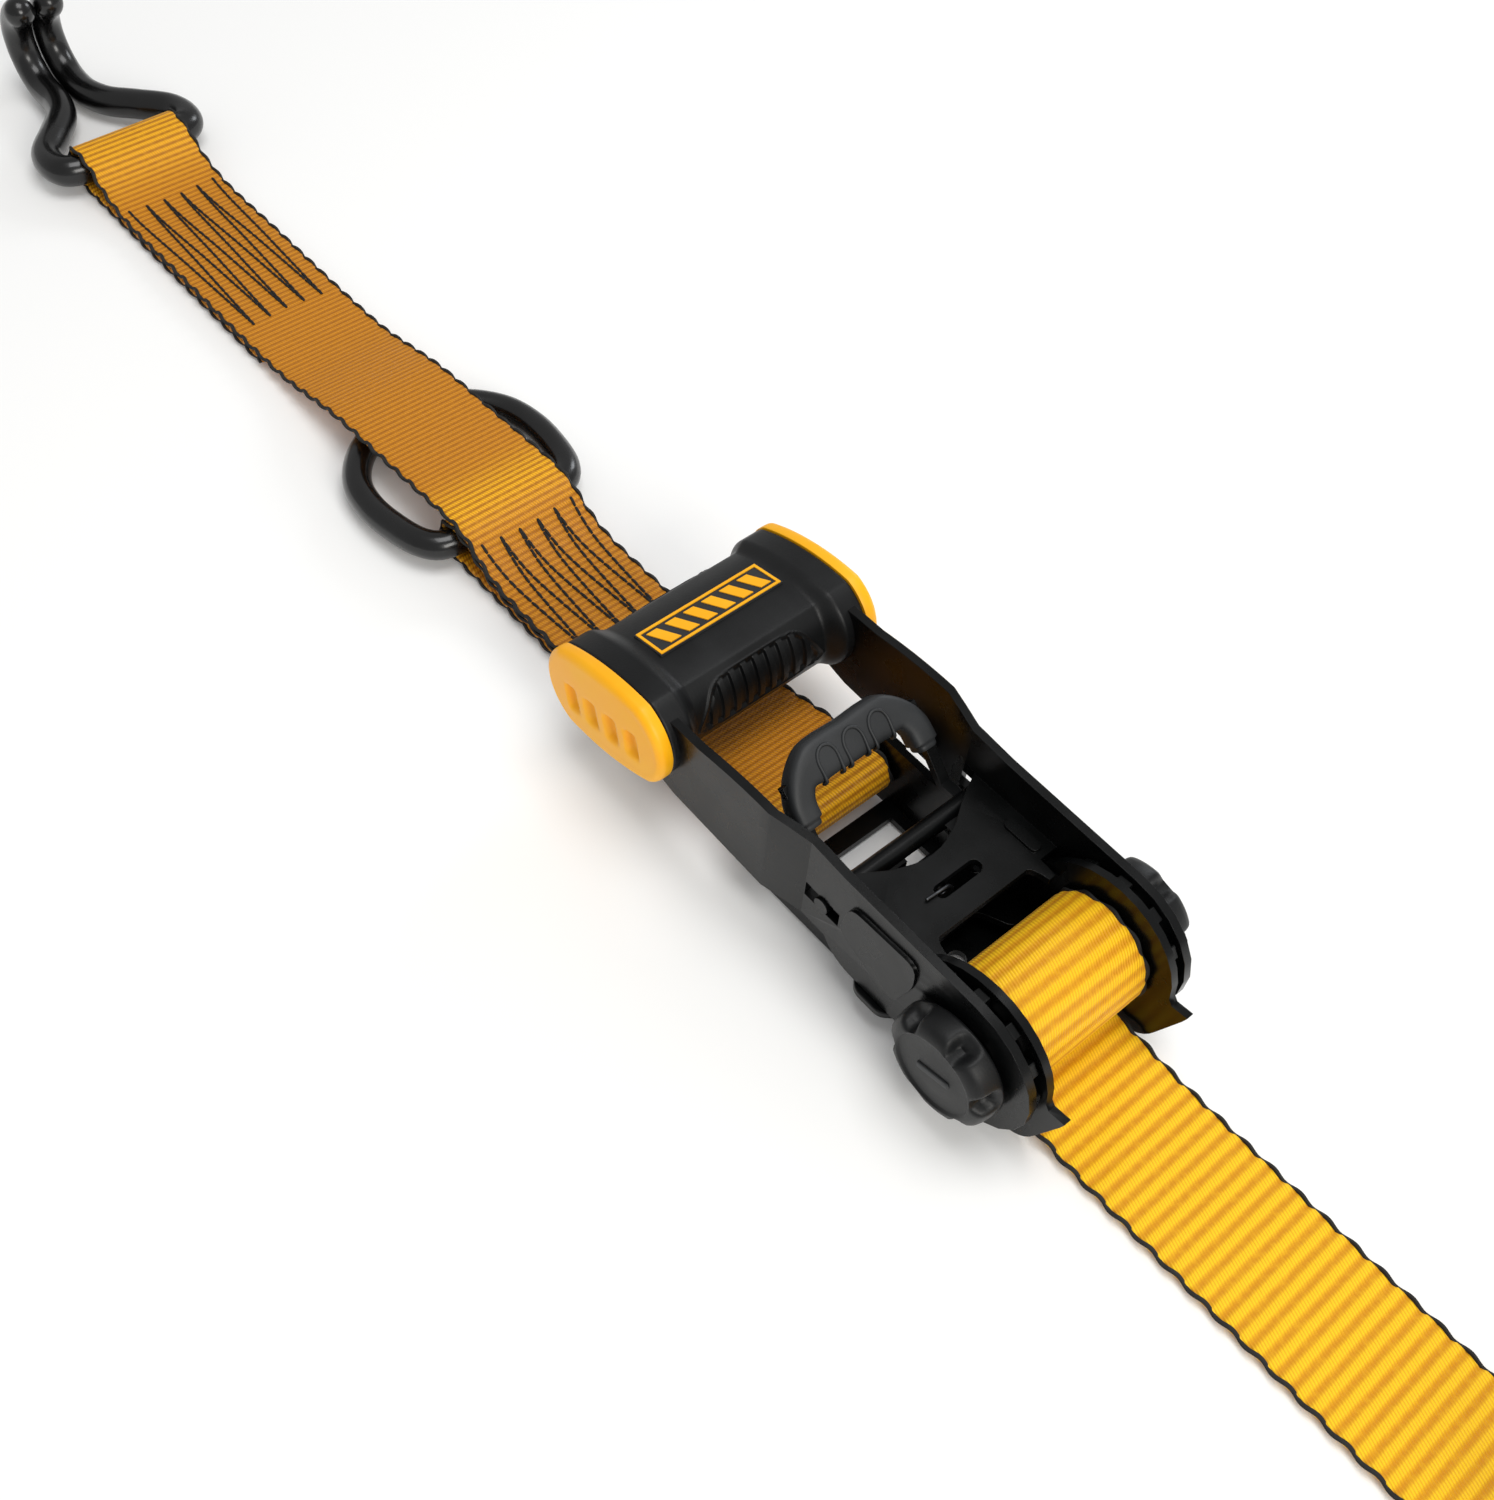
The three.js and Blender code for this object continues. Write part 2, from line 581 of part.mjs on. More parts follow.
// ---- fixed strap, D-ring and hooks ----
function makeFixedStrap() {
  const half = WEB_THICK / 2;
  const sleeveR = 4.5 + GAP;
  const ringR = RING_WIRE + GAP;
  const hookR = HOOK_WIRE + GAP;
  const upper = [
    [BOLT_X, BOLT_Z + sleeveR + half], [-42, 18], [-56, 14.6], [-76, 9.6], [-96, 6.1], [-112, 5.15], [-150, 5.2],
    [-159, 8.2], [-167, 13.2], [RING_BAR_X, 14.7], [-182, 14.3], [-205, 12.7], [-234, 10.6], [-248, 7.8],
    [-264, 4.4], [-282, 3.1], [-330, 3.1], [-366, 3.3], [-379, 7.2], [-386, 12.4],
    [HOOK_BAR_X, HOOK_BAR_Z + hookR + half],
  ];
  const lower = [
    [BOLT_X, BOLT_Z - sleeveR - half], [-45, 6.4], [-60, 3.6], [-78, 1.5], [-96, 1.05], [-140, 1.05],
    [RING_BAR_X, RING_BAR_Z - ringR - half],
  ];
  const middle = [[RING_BAR_X, RING_BAR_Z + ringR + half], [-166.5, 11], [-159, 6.1], [-149, 3.1], [-112, 3.1]];
  const under = [[HOOK_BAR_X, HOOK_BAR_Z - hookR - half], [-380, 1.05], [-330, 1.05], [-280, 1.05]];
  return union(
    band(upper, WEB_THICK, WEB_WIDTH / 2, 56), band(lower, WEB_THICK, WEB_WIDTH / 2, 22),
    band(middle, WEB_THICK, WEB_WIDTH / 2, 12), band(under, WEB_THICK, WEB_WIDTH / 2, 14),
    bandLoop(BOLT_X, BOLT_Z, sleeveR, -1),
    bandLoop(RING_BAR_X, RING_BAR_Z, ringR, 1), bandLoop(HOOK_BAR_X, HOOK_BAR_Z, hookR, 1),
  );
}

function makeRing() {
  const drop = RING_BAR_Z - RING_WIRE - 0.1;
  const heightAt = (x) => RING_BAR_Z - drop * (RING_BAR_X - x) / (RING_BAR_X - RING_TAIL_X);
  const half = [
    [RING_BAR_X, 0], [RING_BAR_X, 10], [RING_BAR_X, 19.9], [-175.6, 23.6], [-180, 26.6], [-189, 28.8], [-200, 29.6],
    [-211, 27.4], [-220.5, 20.6], [-227, 10.4], [RING_TAIL_X, 0],
  ];
  const points = half.map(([x, y]) => [x, y, heightAt(x)]);
  const overlap = points.map(([x, y, z]) => [x, -y, z]);
  const rightHalf = wire([overlap[1], ...points, overlap[overlap.length - 2]], RING_WIRE, 24, 8);
  return union(rightHalf, mirrorY(rightHalf));
}

// Double-J hook in one wire. It points towards direction * X from its crossbar at (barX, barZ).
function makeHook(barX, barZ, restZ, direction) {
  const low = restZ + HOOK_WIRE + 0.1;
  const side = [
    [0, 0, barZ], [0, 10, barZ], [0, 19.9, barZ], [2, 23.8, barZ], [7, 25.4, barZ - 0.3], [14.5, 24, barZ - 0.8],
    [24, 16, (barZ + low) / 2], [33, 9, low + 0.3], [41, HOOK_PAIR + 0.6, low], [46, HOOK_PAIR, low],
  ];
  const bendX = 48.5;
  for (let i = 1; i <= 9; i++) {
    const angle = degrees(-90 + 19 * i);
    side.push([bendX + HOOK_BEND * Math.cos(angle), HOOK_PAIR, low + HOOK_BEND + HOOK_BEND * Math.sin(angle)]);
  }
  const place = ([x, y, z]) => [barX + direction * x, y, z];
  const arm = side.map(place);
  const other = side.map(([x, y, z]) => place([x, -y, z]));
  const tip = side[side.length - 1];
  const half = wire([other[1], ...arm], HOOK_WIRE, 34, 8);
  const tipRound = (sign) => ball(HOOK_WIRE + 0.15, barX + direction * tip[0], sign * (HOOK_PAIR + 0.1), tip[2]);
  return union(half, mirrorY(half), tipRound(1), tipRound(-1));
}

// ---- main strap ----
function makeRun() {
  const leave = AXLE_Z - SPOOL_R - GAP - WEB_THICK / 2;
  return band([
    [AXLE_X - 2, leave], [AXLE_X + 8, leave - 0.4], [AXLE_X + 20, 3], [AXLE_X + 32, 1.4], [AXLE_X + 44, 1.05],
    [AXLE_X + 80, 1.05], [AXLE_X + 120, 1.05], [HANK_START, 1.05],
  ]);
}

function makeHank() {
  const left = HANK_START + 2.4;
  return prismY(roundedPolygon([
    [left - 1.5, HANK_FLOOR + 1, 1], [left + 2, HANK_FLOOR, 1], [HANK_END, HANK_FLOOR, 4], [HANK_END, HANK_TOP, 5],
    [left - 1.5, HANK_TOP, 5],
  ]), -WEB_WIDTH / 2 - 1, WEB_WIDTH / 2 + 1, 4);
}

function makeHankTie() {
  const half = WEB_WIDTH / 2 + 1 + GAP;
  const top = HANK_TOP + 2 * GAP + WEB_THICK;
  const outside = roundedPolygon([
    [-half - 1.2, 0.1, 2], [half + 1.2, 0.1, 2], [half + 1.2, top + 1.2, 3], [-half - 1.2, top + 1.2, 3],
  ]);
  const inside = polygon([
    [-half, HANK_FLOOR - GAP], [half, HANK_FLOOR - GAP], [half, top], [-half, top],
  ]);
  return cut(prismX(outside, 285, 305, 4), prismX(inside, 280, 310));
}

function makeEndLoop() {
  const half = WEB_THICK / 2;
  const hookR = HOOK_WIRE + GAP;
  const base = HANK_TOP + GAP;
  const barZ = base + WEB_THICK + GAP + HOOK_WIRE;
  const lower = [[212, base + half], [300, base + half], [380, base + half], [FREE_BAR_X, barZ - hookR - half]];
  const upper = [
    [318, base + half + 2.05], [350, base + half + 2.05], [376, base + half + 2.3], [388, base + 6.6],
    [394, barZ + hookR - 0.3], [FREE_BAR_X, barZ + hookR + half],
  ];
  return union(band(lower), band(upper), block(316, 352, -19, 19, base, base + 3.9), bandLoop(FREE_BAR_X, barZ, hookR, -1));
}

// ---- materials ----
const finish = (color, roughness, metalness) => new THREE.MeshStandardMaterial({ color, roughness, metalness });
const blackPaint = () => finish(0x16181a, 0.38, 0.35);
const blackVinyl = () => finish(0x141414, 0.3, 0.0);
const zincSteel = () => finish(0x9a9da0, 0.35, 0.9);
const blackPlastic = () => finish(0x1b1c1e, 0.6, 0.0);
const yellowPlastic = () => finish(0xfdb713, 0.45, 0.0);
const yellowWeb = () => finish(0xf0a81c, 0.75, 0.0);

// ---- assembly ----
const strap = new THREE.Group();
strap.name = 'ratchet_strap';

function add(name, manifold, material) {
  const mesh = new THREE.Mesh(toGeometry(manifold), material);
  mesh.name = name;
  strap.add(mesh);
}

function addPair(name, manifold, material) {
  add(`${name}_left`, manifold, material());
  add(`${name}_right`, mirrorY(manifold), material());
}

add('base_frame', makeBaseFrame(), blackPaint());
add('fixed_bolt', makeFixedBolt(), zincSteel());
add('fixed_bolt_nut', makeBoltNut(), zincSteel());
add('bolt_sleeve', makeBoltSleeve(), zincSteel());
add('lock_pawl', makeLockPawl(), blackPaint());
add('lock_spring', makeLockSpring(), zincSteel());
add('mandrel_upper', makeMandrelHalf(1), blackPaint());
add('mandrel_lower', makeMandrelHalf(-1), blackPaint());
addPair('gear', makeGear(), blackPaint);
addPair('axle_washer', makeWasher(), zincSteel);
addPair('knob', makeKnob(), blackPlastic);
addPair('knob_screw', makeKnobScrew(), zincSteel);
add('wound_web', makeWoundWeb(), yellowWeb());
add('handle_frame', makeHandleFrame(), blackPaint());
add('grip_rod', makeGripRod(), zincSteel());
add('grip', makeGrip(), blackPlastic());
addPair('grip_cap', makeCap(), yellowPlastic);
add('badge', makeBadge(), yellowPlastic());
add('drive_pawl', makeDrivePawl(), blackPaint());
add('finger_pull', makeFingerPull(), blackPlastic());
add('drive_spring', makeDriveSpring(), zincSteel());
add('fixed_strap', makeFixedStrap(), yellowWeb());
add('d_ring', makeRing(), blackVinyl());
add('hook_fixed', makeHook(HOOK_BAR_X, HOOK_BAR_Z, 0, -1), blackVinyl());
add('strap_run', makeRun(), yellowWeb());
add('strap_hank', makeHank(), yellowWeb());
add('hank_tie', makeHankTie(), blackVinyl());
add('strap_end_loop', makeEndLoop(), yellowWeb());
add('hook_free', makeHook(FREE_BAR_X, HANK_TOP + 2 * GAP + WEB_THICK + HOOK_WIRE, HANK_TOP + GAP, 1), blackVinyl());

export default strap;
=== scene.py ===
"""Looks of a 38 mm ratchet strap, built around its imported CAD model. Metres, +Z up."""

import logging
from dataclasses import dataclass
from enum import Enum

import bmesh
import bpy
import numpy as np
from mathutils import Matrix


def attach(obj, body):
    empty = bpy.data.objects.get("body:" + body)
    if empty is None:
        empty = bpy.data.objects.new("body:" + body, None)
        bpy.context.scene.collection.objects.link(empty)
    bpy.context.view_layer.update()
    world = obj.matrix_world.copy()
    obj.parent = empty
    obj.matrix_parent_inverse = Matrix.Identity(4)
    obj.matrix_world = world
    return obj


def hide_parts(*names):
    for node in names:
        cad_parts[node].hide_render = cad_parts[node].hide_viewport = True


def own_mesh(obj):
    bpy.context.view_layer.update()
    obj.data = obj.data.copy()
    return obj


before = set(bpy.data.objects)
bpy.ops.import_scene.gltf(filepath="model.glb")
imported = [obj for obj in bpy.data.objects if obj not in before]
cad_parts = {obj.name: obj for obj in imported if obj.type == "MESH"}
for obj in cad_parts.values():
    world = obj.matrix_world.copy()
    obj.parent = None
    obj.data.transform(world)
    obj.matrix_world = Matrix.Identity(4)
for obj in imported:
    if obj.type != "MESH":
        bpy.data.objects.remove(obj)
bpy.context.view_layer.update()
log = logging.getLogger("ratchet_strap")
MM = 0.001
AXLE = (42 * MM, 23 * MM)  # X and Z of the spool's axle
MOTTLE_SCALE = 70.0  # broad patches in a finish, about 14 mm across
GRAIN_DEPTH = 0.1 * MM


class Side(Enum):
    """The two sides of the ratchet, with the sign of Y on each."""

    LEFT = 1
    RIGHT = -1

    @property
    def label(self) -> str:
        """Returns the side's name as the CAD nodes spell it."""
        return self.name.lower()


# ---- node helpers ----


def linear(code: str) -> tuple:
    """Turns an sRGB hex colour into linear RGBA.

    Args:
        code: six hex digits.
    Returns:
        four floats.
    """
    part = np.array([int(code[i:i + 2], 16) / 255 for i in (0, 2, 4)])
    low, high = part / 12.92, ((part + 0.055) / 1.055) ** 2.4
    return (*np.where(part <= 0.04045, low, high).tolist(), 1.0)


def add_node(tree: bpy.types.NodeTree, kind: str, inputs: dict | None = None, **settings) -> bpy.types.Node:
    """Adds one node.

    Args:
        tree: the material's node tree.
        kind: node type name.
        inputs: input socket (name or number) to a value or to an output socket.
        settings: node properties.
    Returns:
        the new node.
    """
    made = tree.nodes.new(kind)
    for key, value in settings.items():
        setattr(made, key, value)
    for key, value in (inputs or {}).items():
        if isinstance(value, bpy.types.NodeSocket):
            tree.links.new(value, made.inputs[key])
        else:
            made.inputs[key].default_value = value
    return made


def new_material(name: str) -> tuple:
    """Makes an empty node material.

    Args:
        name: the finish's name.
    Returns:
        the material, its tree and its Principled shader.
    """
    material = bpy.data.materials.new(name)
    material.use_nodes = True
    tree = material.node_tree
    return material, tree, tree.nodes["Principled BSDF"]


def blend_colour(tree: bpy.types.NodeTree, factor: bpy.types.NodeSocket,
                 first: tuple | bpy.types.NodeSocket,
                 second: tuple | bpy.types.NodeSocket) -> bpy.types.NodeSocket:
    """Mixes two colours.

    Args:
        tree: the material's node tree.
        factor: socket that runs from the first to the second.
        first: linear RGBA or a socket.
        second: linear RGBA or a socket.
    Returns:
        the mixed colour's socket.
    """
    mixed = add_node(tree, "ShaderNodeMix", {0: factor, 6: first, 7: second}, data_type="RGBA")
    return mixed.outputs[2]


# ---- finishes ----


@dataclass(frozen=True)
class SpeckledFinish:
    """A plain finish with fine mottling, grain in its gloss and a fine bump."""

    name: str
    colour: str
    worn: str
    roughness: float
    spread: float
    grain_mm: float
    bump: float
    metallic: float = 0.0
    coat: float = 0.0
    specular: float = 0.5

    def build(self) -> bpy.types.Material:
        """Returns the finished material; the grain is noise whose cells are grain_mm across."""
        material, tree, shader = new_material(self.name)
        place = add_node(tree, "ShaderNodeTexCoord").outputs["Object"]
        scale = 1 / (self.grain_mm * MM)
        fine = add_node(tree, "ShaderNodeTexNoise", {"Vector": place, "Scale": scale, "Detail": 3.0})
        broad = add_node(tree, "ShaderNodeTexNoise", {"Vector": place, "Scale": MOTTLE_SCALE, "Detail": 5.0})
        patch = add_node(tree, "ShaderNodeMapRange", {0: broad.outputs[0], 1: 0.42, 2: 0.72})
        colour = blend_colour(tree, patch.outputs[0], linear(self.colour), linear(self.worn))
        gloss = add_node(tree, "ShaderNodeMapRange", {
            0: broad.outputs[0], 1: 0.3, 2: 0.7,
            3: self.roughness - self.spread, 4: self.roughness + self.spread})
        bump = add_node(tree, "ShaderNodeBump", {
            "Strength": self.bump, "Distance": GRAIN_DEPTH, "Height": fine.outputs[0]})
        tree.links.new(colour, shader.inputs["Base Color"])
        tree.links.new(gloss.outputs[0], shader.inputs["Roughness"])
        tree.links.new(bump.outputs[0], shader.inputs["Normal"])
        shader.inputs["Metallic"].default_value = self.metallic
        shader.inputs["Coat Weight"].default_value = self.coat
        shader.inputs["Specular IOR Level"].default_value = self.specular
        return material


@dataclass(frozen=True)
class WebbingFinish:
    """Ribbed polyester webbing. UV runs in millimetres: U across the band and V along it."""

    name: str
    # The lit and shaded copies of one colour are painted light, mixed by the attribute shade; the third
    # colour draws the yarn hatch and painted shade in the rib valleys.
    lit_colour: str
    shaded_colour: str
    yarn_and_valley_shade: str
    rib_mm: float
    yarn_mm: float = 0.85
    lay_mm: float = 2.6
    depth_mm: float = 0.14

    def build(self) -> bpy.types.Material:
        """Returns the material.

        Yarns are sin(2 pi (U / yarn + V / lay)), ribs are |cos(pi V / rib)| with painted shade in their
        valleys, and
        the attribute shade is painted light: it mixes from the shaded copy of the colour at 0 to the lit copy
        at 1.
        """
        material, tree, shader = new_material(self.name)
        uv = add_node(tree, "ShaderNodeUVMap", uv_map="weave").outputs[0]
        axis = add_node(tree, "ShaderNodeSeparateXYZ", {0: uv})
        across = add_node(tree, "ShaderNodeMath", {
            0: axis.outputs[0], 1: 2 * np.pi / self.yarn_mm}, operation="MULTIPLY")
        lean = add_node(tree, "ShaderNodeMath", {
            0: axis.outputs[1], 1: 2 * np.pi / self.lay_mm, 2: across.outputs[0]}, operation="MULTIPLY_ADD")
        yarn = add_node(tree, "ShaderNodeMath", {0: lean.outputs[0]}, operation="SINE")
        turn = add_node(tree, "ShaderNodeMath", {
            0: axis.outputs[1], 1: np.pi / self.rib_mm}, operation="MULTIPLY")
        wave = add_node(tree, "ShaderNodeMath", {0: turn.outputs[0]}, operation="COSINE")
        groove = add_node(tree, "ShaderNodeMath", {0: wave.outputs[0]}, operation="ABSOLUTE")
        # Painted shade: the colour is pulled towards the third colour in each rib valley.
        rib_valley_shade = add_node(tree, "ShaderNodeMapRange", {0: groove.outputs[0], 1: 0.5, 2: 1.0, 3: 0.0, 4: 0.85})
        shade = add_node(tree, "ShaderNodeAttribute", attribute_name="shade")
        mottle = add_node(tree, "ShaderNodeTexNoise", {"Vector": uv, "Scale": 0.55, "Detail": 4.0})
        # Painted light: the shaded copy of the colour gives way to the lit copy where the attribute shade
        # rises.
        body = blend_colour(tree, shade.outputs["Fac"], linear(self.shaded_colour), linear(self.lit_colour))
        thread = add_node(tree, "ShaderNodeMapRange", {0: yarn.outputs[0], 1: -1.0, 2: 0.3, 3: 0.5, 4: 0.0})
        woven = blend_colour(tree, thread.outputs[0], body, linear(self.yarn_and_valley_shade))
        rib_valley_shaded = blend_colour(tree, rib_valley_shade.outputs[0], woven, linear(self.yarn_and_valley_shade))
        fade = add_node(tree, "ShaderNodeMapRange", {0: mottle.outputs[0], 1: 0.45, 2: 0.75, 3: 0.0, 4: 0.28})
        colour = blend_colour(tree, fade.outputs[0], rib_valley_shaded, body)
        height = add_node(tree, "ShaderNodeMath", {
            0: yarn.outputs[0], 1: 0.5, 2: mottle.outputs[0]}, operation="MULTIPLY_ADD")
        bump = add_node(tree, "ShaderNodeBump", {
            "Strength": 0.8, "Distance": self.depth_mm * MM, "Height": height.outputs[0]})
        tree.links.new(colour, shader.inputs["Base Color"])
        tree.links.new(bump.outputs[0], shader.inputs["Normal"])
        shader.inputs["Roughness"].default_value = 0.5
        shader.inputs["Sheen Weight"].default_value = 0.04
        shader.inputs["Specular IOR Level"].default_value = 0.25
        return material


# Powder-coated steel: near-black with a soft grey reflection and faint orange peel.
ENAMEL = SpeckledFinish("black_powder_coated_steel", "060707", "0C0D0E", 0.28, 0.06, 0.9, 0.10, specular=0.24)
# Plastisol dip on steel wire: smooth, wet-looking black.
VINYL = SpeckledFinish("black_dipped_vinyl", "050505", "0A0A0B", 0.25, 0.05, 2.2, 0.12, coat=0.15)
# Zinc plate dulled by handling.
ZINC = SpeckledFinish("dull_zinc_plate", "3A3B3D", "55575A", 0.36, 0.06, 0.8, 0.15, metallic=1.0)
# Spark-eroded nylon: matte black with a fine even grain.
NYLON = SpeckledFinish("textured_black_nylon", "0B0C0D", "131415", 0.42, 0.06, 0.55, 0.35, specular=0.28)
# Overmoulded rubber, slightly greyer and duller than the nylon.
RUBBER = SpeckledFinish("dull_black_rubber", "1F2123", "2A2C2E", 0.55, 0.06, 0.6, 0.3)
# Moulded yellow ABS with a satin face.
YELLOW = SpeckledFinish("satin_yellow_abs", "FFB20A", "FFBA18", 0.42, 0.04, 0.7, 0.12, specular=0.35)
# Black polyester thread.
THREAD = SpeckledFinish("black_polyester_thread", "070707", "121210", 0.7, 0.08, 0.3, 0.5)
# Coarse ribs of the main strap. Its shaded copy is painted shade, used only on the spool's turns, and its
# third colour draws the yarn hatch and painted shade in the rib valleys.
MAIN_WEB = WebbingFinish("yellow_ribbed_webbing", "FFCC16", "E0930C", "CE8404", 4.05)
# Finer ribs of the sewn end. Its lit copy is a painted highlight at the bends, its amber shaded copy is
# painted shade on the flat runs, and its third colour draws the yarn hatch and painted shade in the rib
# valleys.
SEWN_WEB = WebbingFinish("sewn_webbing_with_painted_light", "FFBC18", "D0851A", "A2600C", 2.05)


@dataclass
class Palette:
    """Every finish of the strap, built once."""

    enamel: bpy.types.Material
    vinyl: bpy.types.Material
    zinc: bpy.types.Material
    nylon: bpy.types.Material
    rubber: bpy.types.Material
    yellow: bpy.types.Material
    thread: bpy.types.Material
    main_web: bpy.types.Material
    sewn_web: bpy.types.Material

    @classmethod
    def mixed(cls) -> "Palette":
        """Returns the palette with each finish built."""
        finishes = (ENAMEL, VINYL, ZINC, NYLON, RUBBER, YELLOW, THREAD, MAIN_WEB, SEWN_WEB)
        return cls(*(finish.build() for finish in finishes))


# ---- shapes ----


def smooth_path(points: list, spacing: float) -> np.ndarray:
    """Runs a centripetal cubic through points and spreads samples evenly on it.

    Each span is a t^3 + b t^2 + c t + d, whose slopes at its ends come from the chord lengths' square
    roots, so it passes every point without loops.

    Args:
        points: (n, k) points.
        spacing: distance between samples, metres.
    Returns:
        (m, k) samples.
    """
    p = np.asarray(points, float)
    p = np.vstack([2 * p[:1] - p[1:2], p, 2 * p[-1:] - p[-2:-1]])
    p0, p1, p2, p3 = p[:-3, None], p[1:-2, None], p[2:-1, None], p[3:, None]
    chords = ((p0, p1), (p1, p2), (p2, p3))
    t01, t12, t23 = (np.linalg.norm(b - a, axis=2, keepdims=True) ** 0.5 for a, b in chords)
    m1 = p2 - p1 + t12 * ((p1 - p0) / t01 - (p2 - p0) / (t01 + t12))
    m2 = p2 - p1 + t12 * ((p3 - p2) / t23 - (p3 - p1) / (t12 + t23))
    t = np.linspace(0, 1, 24, endpoint=False)[None, :, None]
    curve = (2 * (p1 - p2) + m1 + m2) * t ** 3 + (3 * (p2 - p1) - 2 * m1 - m2) * t ** 2 + m1 * t + p1
    curve = np.vstack([curve.reshape(-1, p.shape[1]), p[-2:-1]])
    return even(curve, spacing)


def even(curve: np.ndarray, spacing: float) -> np.ndarray:
    """Spreads samples evenly along a polyline.

    Args:
        curve: (n, k) points.
        spacing: distance between samples, metres.
    Returns:
        (m, k) samples.
    """
    run = np.concatenate([[0], np.cumsum(np.linalg.norm(np.diff(curve, axis=0), axis=1))])
    stations = np.linspace(0, run[-1], max(int(round(run[-1] / spacing)), 3) + 1)
    return np.stack([np.interp(stations, run, column) for column in curve.T], 1)


def run_length(curve: np.ndarray) -> float:
    """Returns the length of a polyline."""
    return float(np.linalg.norm(np.diff(curve, axis=0), axis=1).sum())


def arc(x: float, z: float, radius: float, start: float, stop: float, count: int = 9) -> list:
    """Points on an arc in the XZ plane.

    Args:
        x: centre.
        z: centre.
        radius: radius.
        start: first angle, degrees from +X towards +Z.
        stop: last angle.
        count: how many points.
    Returns:
        list of [x, z].
    """
    angle = np.radians(np.linspace(start, stop, count))
    return np.stack([x + radius * np.cos(angle), z + radius * np.sin(angle)], 1).tolist()


def build(name: str, verts: np.ndarray, faces: list, material: bpy.types.Material,
          uv: np.ndarray | None = None, shade: np.ndarray | None = None,
          sharp: float = 40.0) -> bpy.types.Object:
    """Makes a mesh object at the origin, facing outwards.

    The sign of the enclosed volume, the sum of a . (b x c) / 6 over its triangles, says which way it faces.

    Args:
        name: object name.
        verts: (n, 3) points in metres.
        faces: vertex indices of each face.
        material: finish.
        uv: (n, 2) coordinates per vertex.
        shade: (n,) attribute named shade.
        sharp: edges over this angle stay crisp, degrees.
    Returns:
        the object.
    """
    first = np.array([f[0] for f in faces])
    second = np.array([f[1] for f in faces])
    third = np.array([f[2] for f in faces])
    wide = np.array([len(f) == 4 for f in faces])
    fourth = np.array([f[3] if len(f) == 4 else f[0] for f in faces])
    volume = np.einsum("ij,ij->", verts[first], np.cross(verts[second], verts[third]))
    volume += np.einsum("ij,ij->", verts[first][wide], np.cross(verts[third][wide], verts[fourth][wide]))
    if volume < 0:
        faces = [f[::-1] for f in faces]
    mesh = bpy.data.meshes.new(name)
    mesh.from_pydata(verts.tolist(), [], faces)
    loops = np.empty(len(mesh.loops), int)
    mesh.loops.foreach_get("vertex_index", loops)
    if uv is not None:
        layer = mesh.uv_layers.new(name="weave")
        layer.data.foreach_set("uv", np.asarray(uv)[loops].ravel())
    if shade is not None:
        mesh.attributes.new("shade", "FLOAT", "POINT").data.foreach_set("value", np.asarray(shade).ravel())
    mesh.polygons.foreach_set("use_smooth", [True] * len(mesh.polygons))
    mesh.set_sharp_from_angle(angle=np.radians(sharp))
    mesh.materials.append(material)
    made = bpy.data.objects.new(name, mesh)
    bpy.context.collection.objects.link(made)
    return made


def grid_faces(rows: int, columns: int, wrap: bool, offset: int = 0, caps: bool = True,
               loop: bool = False) -> list:
    """Faces of a grid of rows of vertices.

    Args:
        rows: how many rows.
        columns: how many vertices in a row.
        wrap: join each row's last vertex to its first.
        offset: index of the grid's first vertex.
        caps: close the first and the last row with fans about their first vertex.
        loop: join the last row to the first.
    Returns:
        list of quads and triangles.
    """
    row = np.arange(rows if loop else rows - 1)[:, None]
    column = np.arange(columns if wrap else columns - 1)[None, :]
    after, beside = (row + 1) % rows, (column + 1) % columns
    index = lambda i, j: i * columns + j + offset
    quads = np.stack([index(row, column), index(row, beside), index(after, beside), index(after, column)], -1)
    faces = quads.reshape(-1, 4).tolist()
    if caps and not loop:
        last = (rows - 1) * columns + offset
        fan = np.arange(1, columns - 1)
        faces += np.stack([0 * fan + offset, fan + 1 + offset, fan + offset], 1).tolist()
        faces += np.stack([0 * fan + last, fan + last, fan + 1 + last], 1).tolist()
    return faces


def zipped(count: int, offset: int) -> list:
    """Closes a ring by joining each vertex to the one across the ring's long axis.

    Args:
        count: how many vertices the ring has, an even number.
        offset: index of its first vertex, which lies on the long axis.
    Returns:
        list of quads and two triangles.
    """
    half = count // 2
    rungs = [[i, i + 1, count - i - 1, count - i] for i in range(1, half - 1)]
    ends = [[0, 1, count - 1], [half - 1, half, half + 1]]
    return [[v + offset for v in face] for face in rungs + ends]


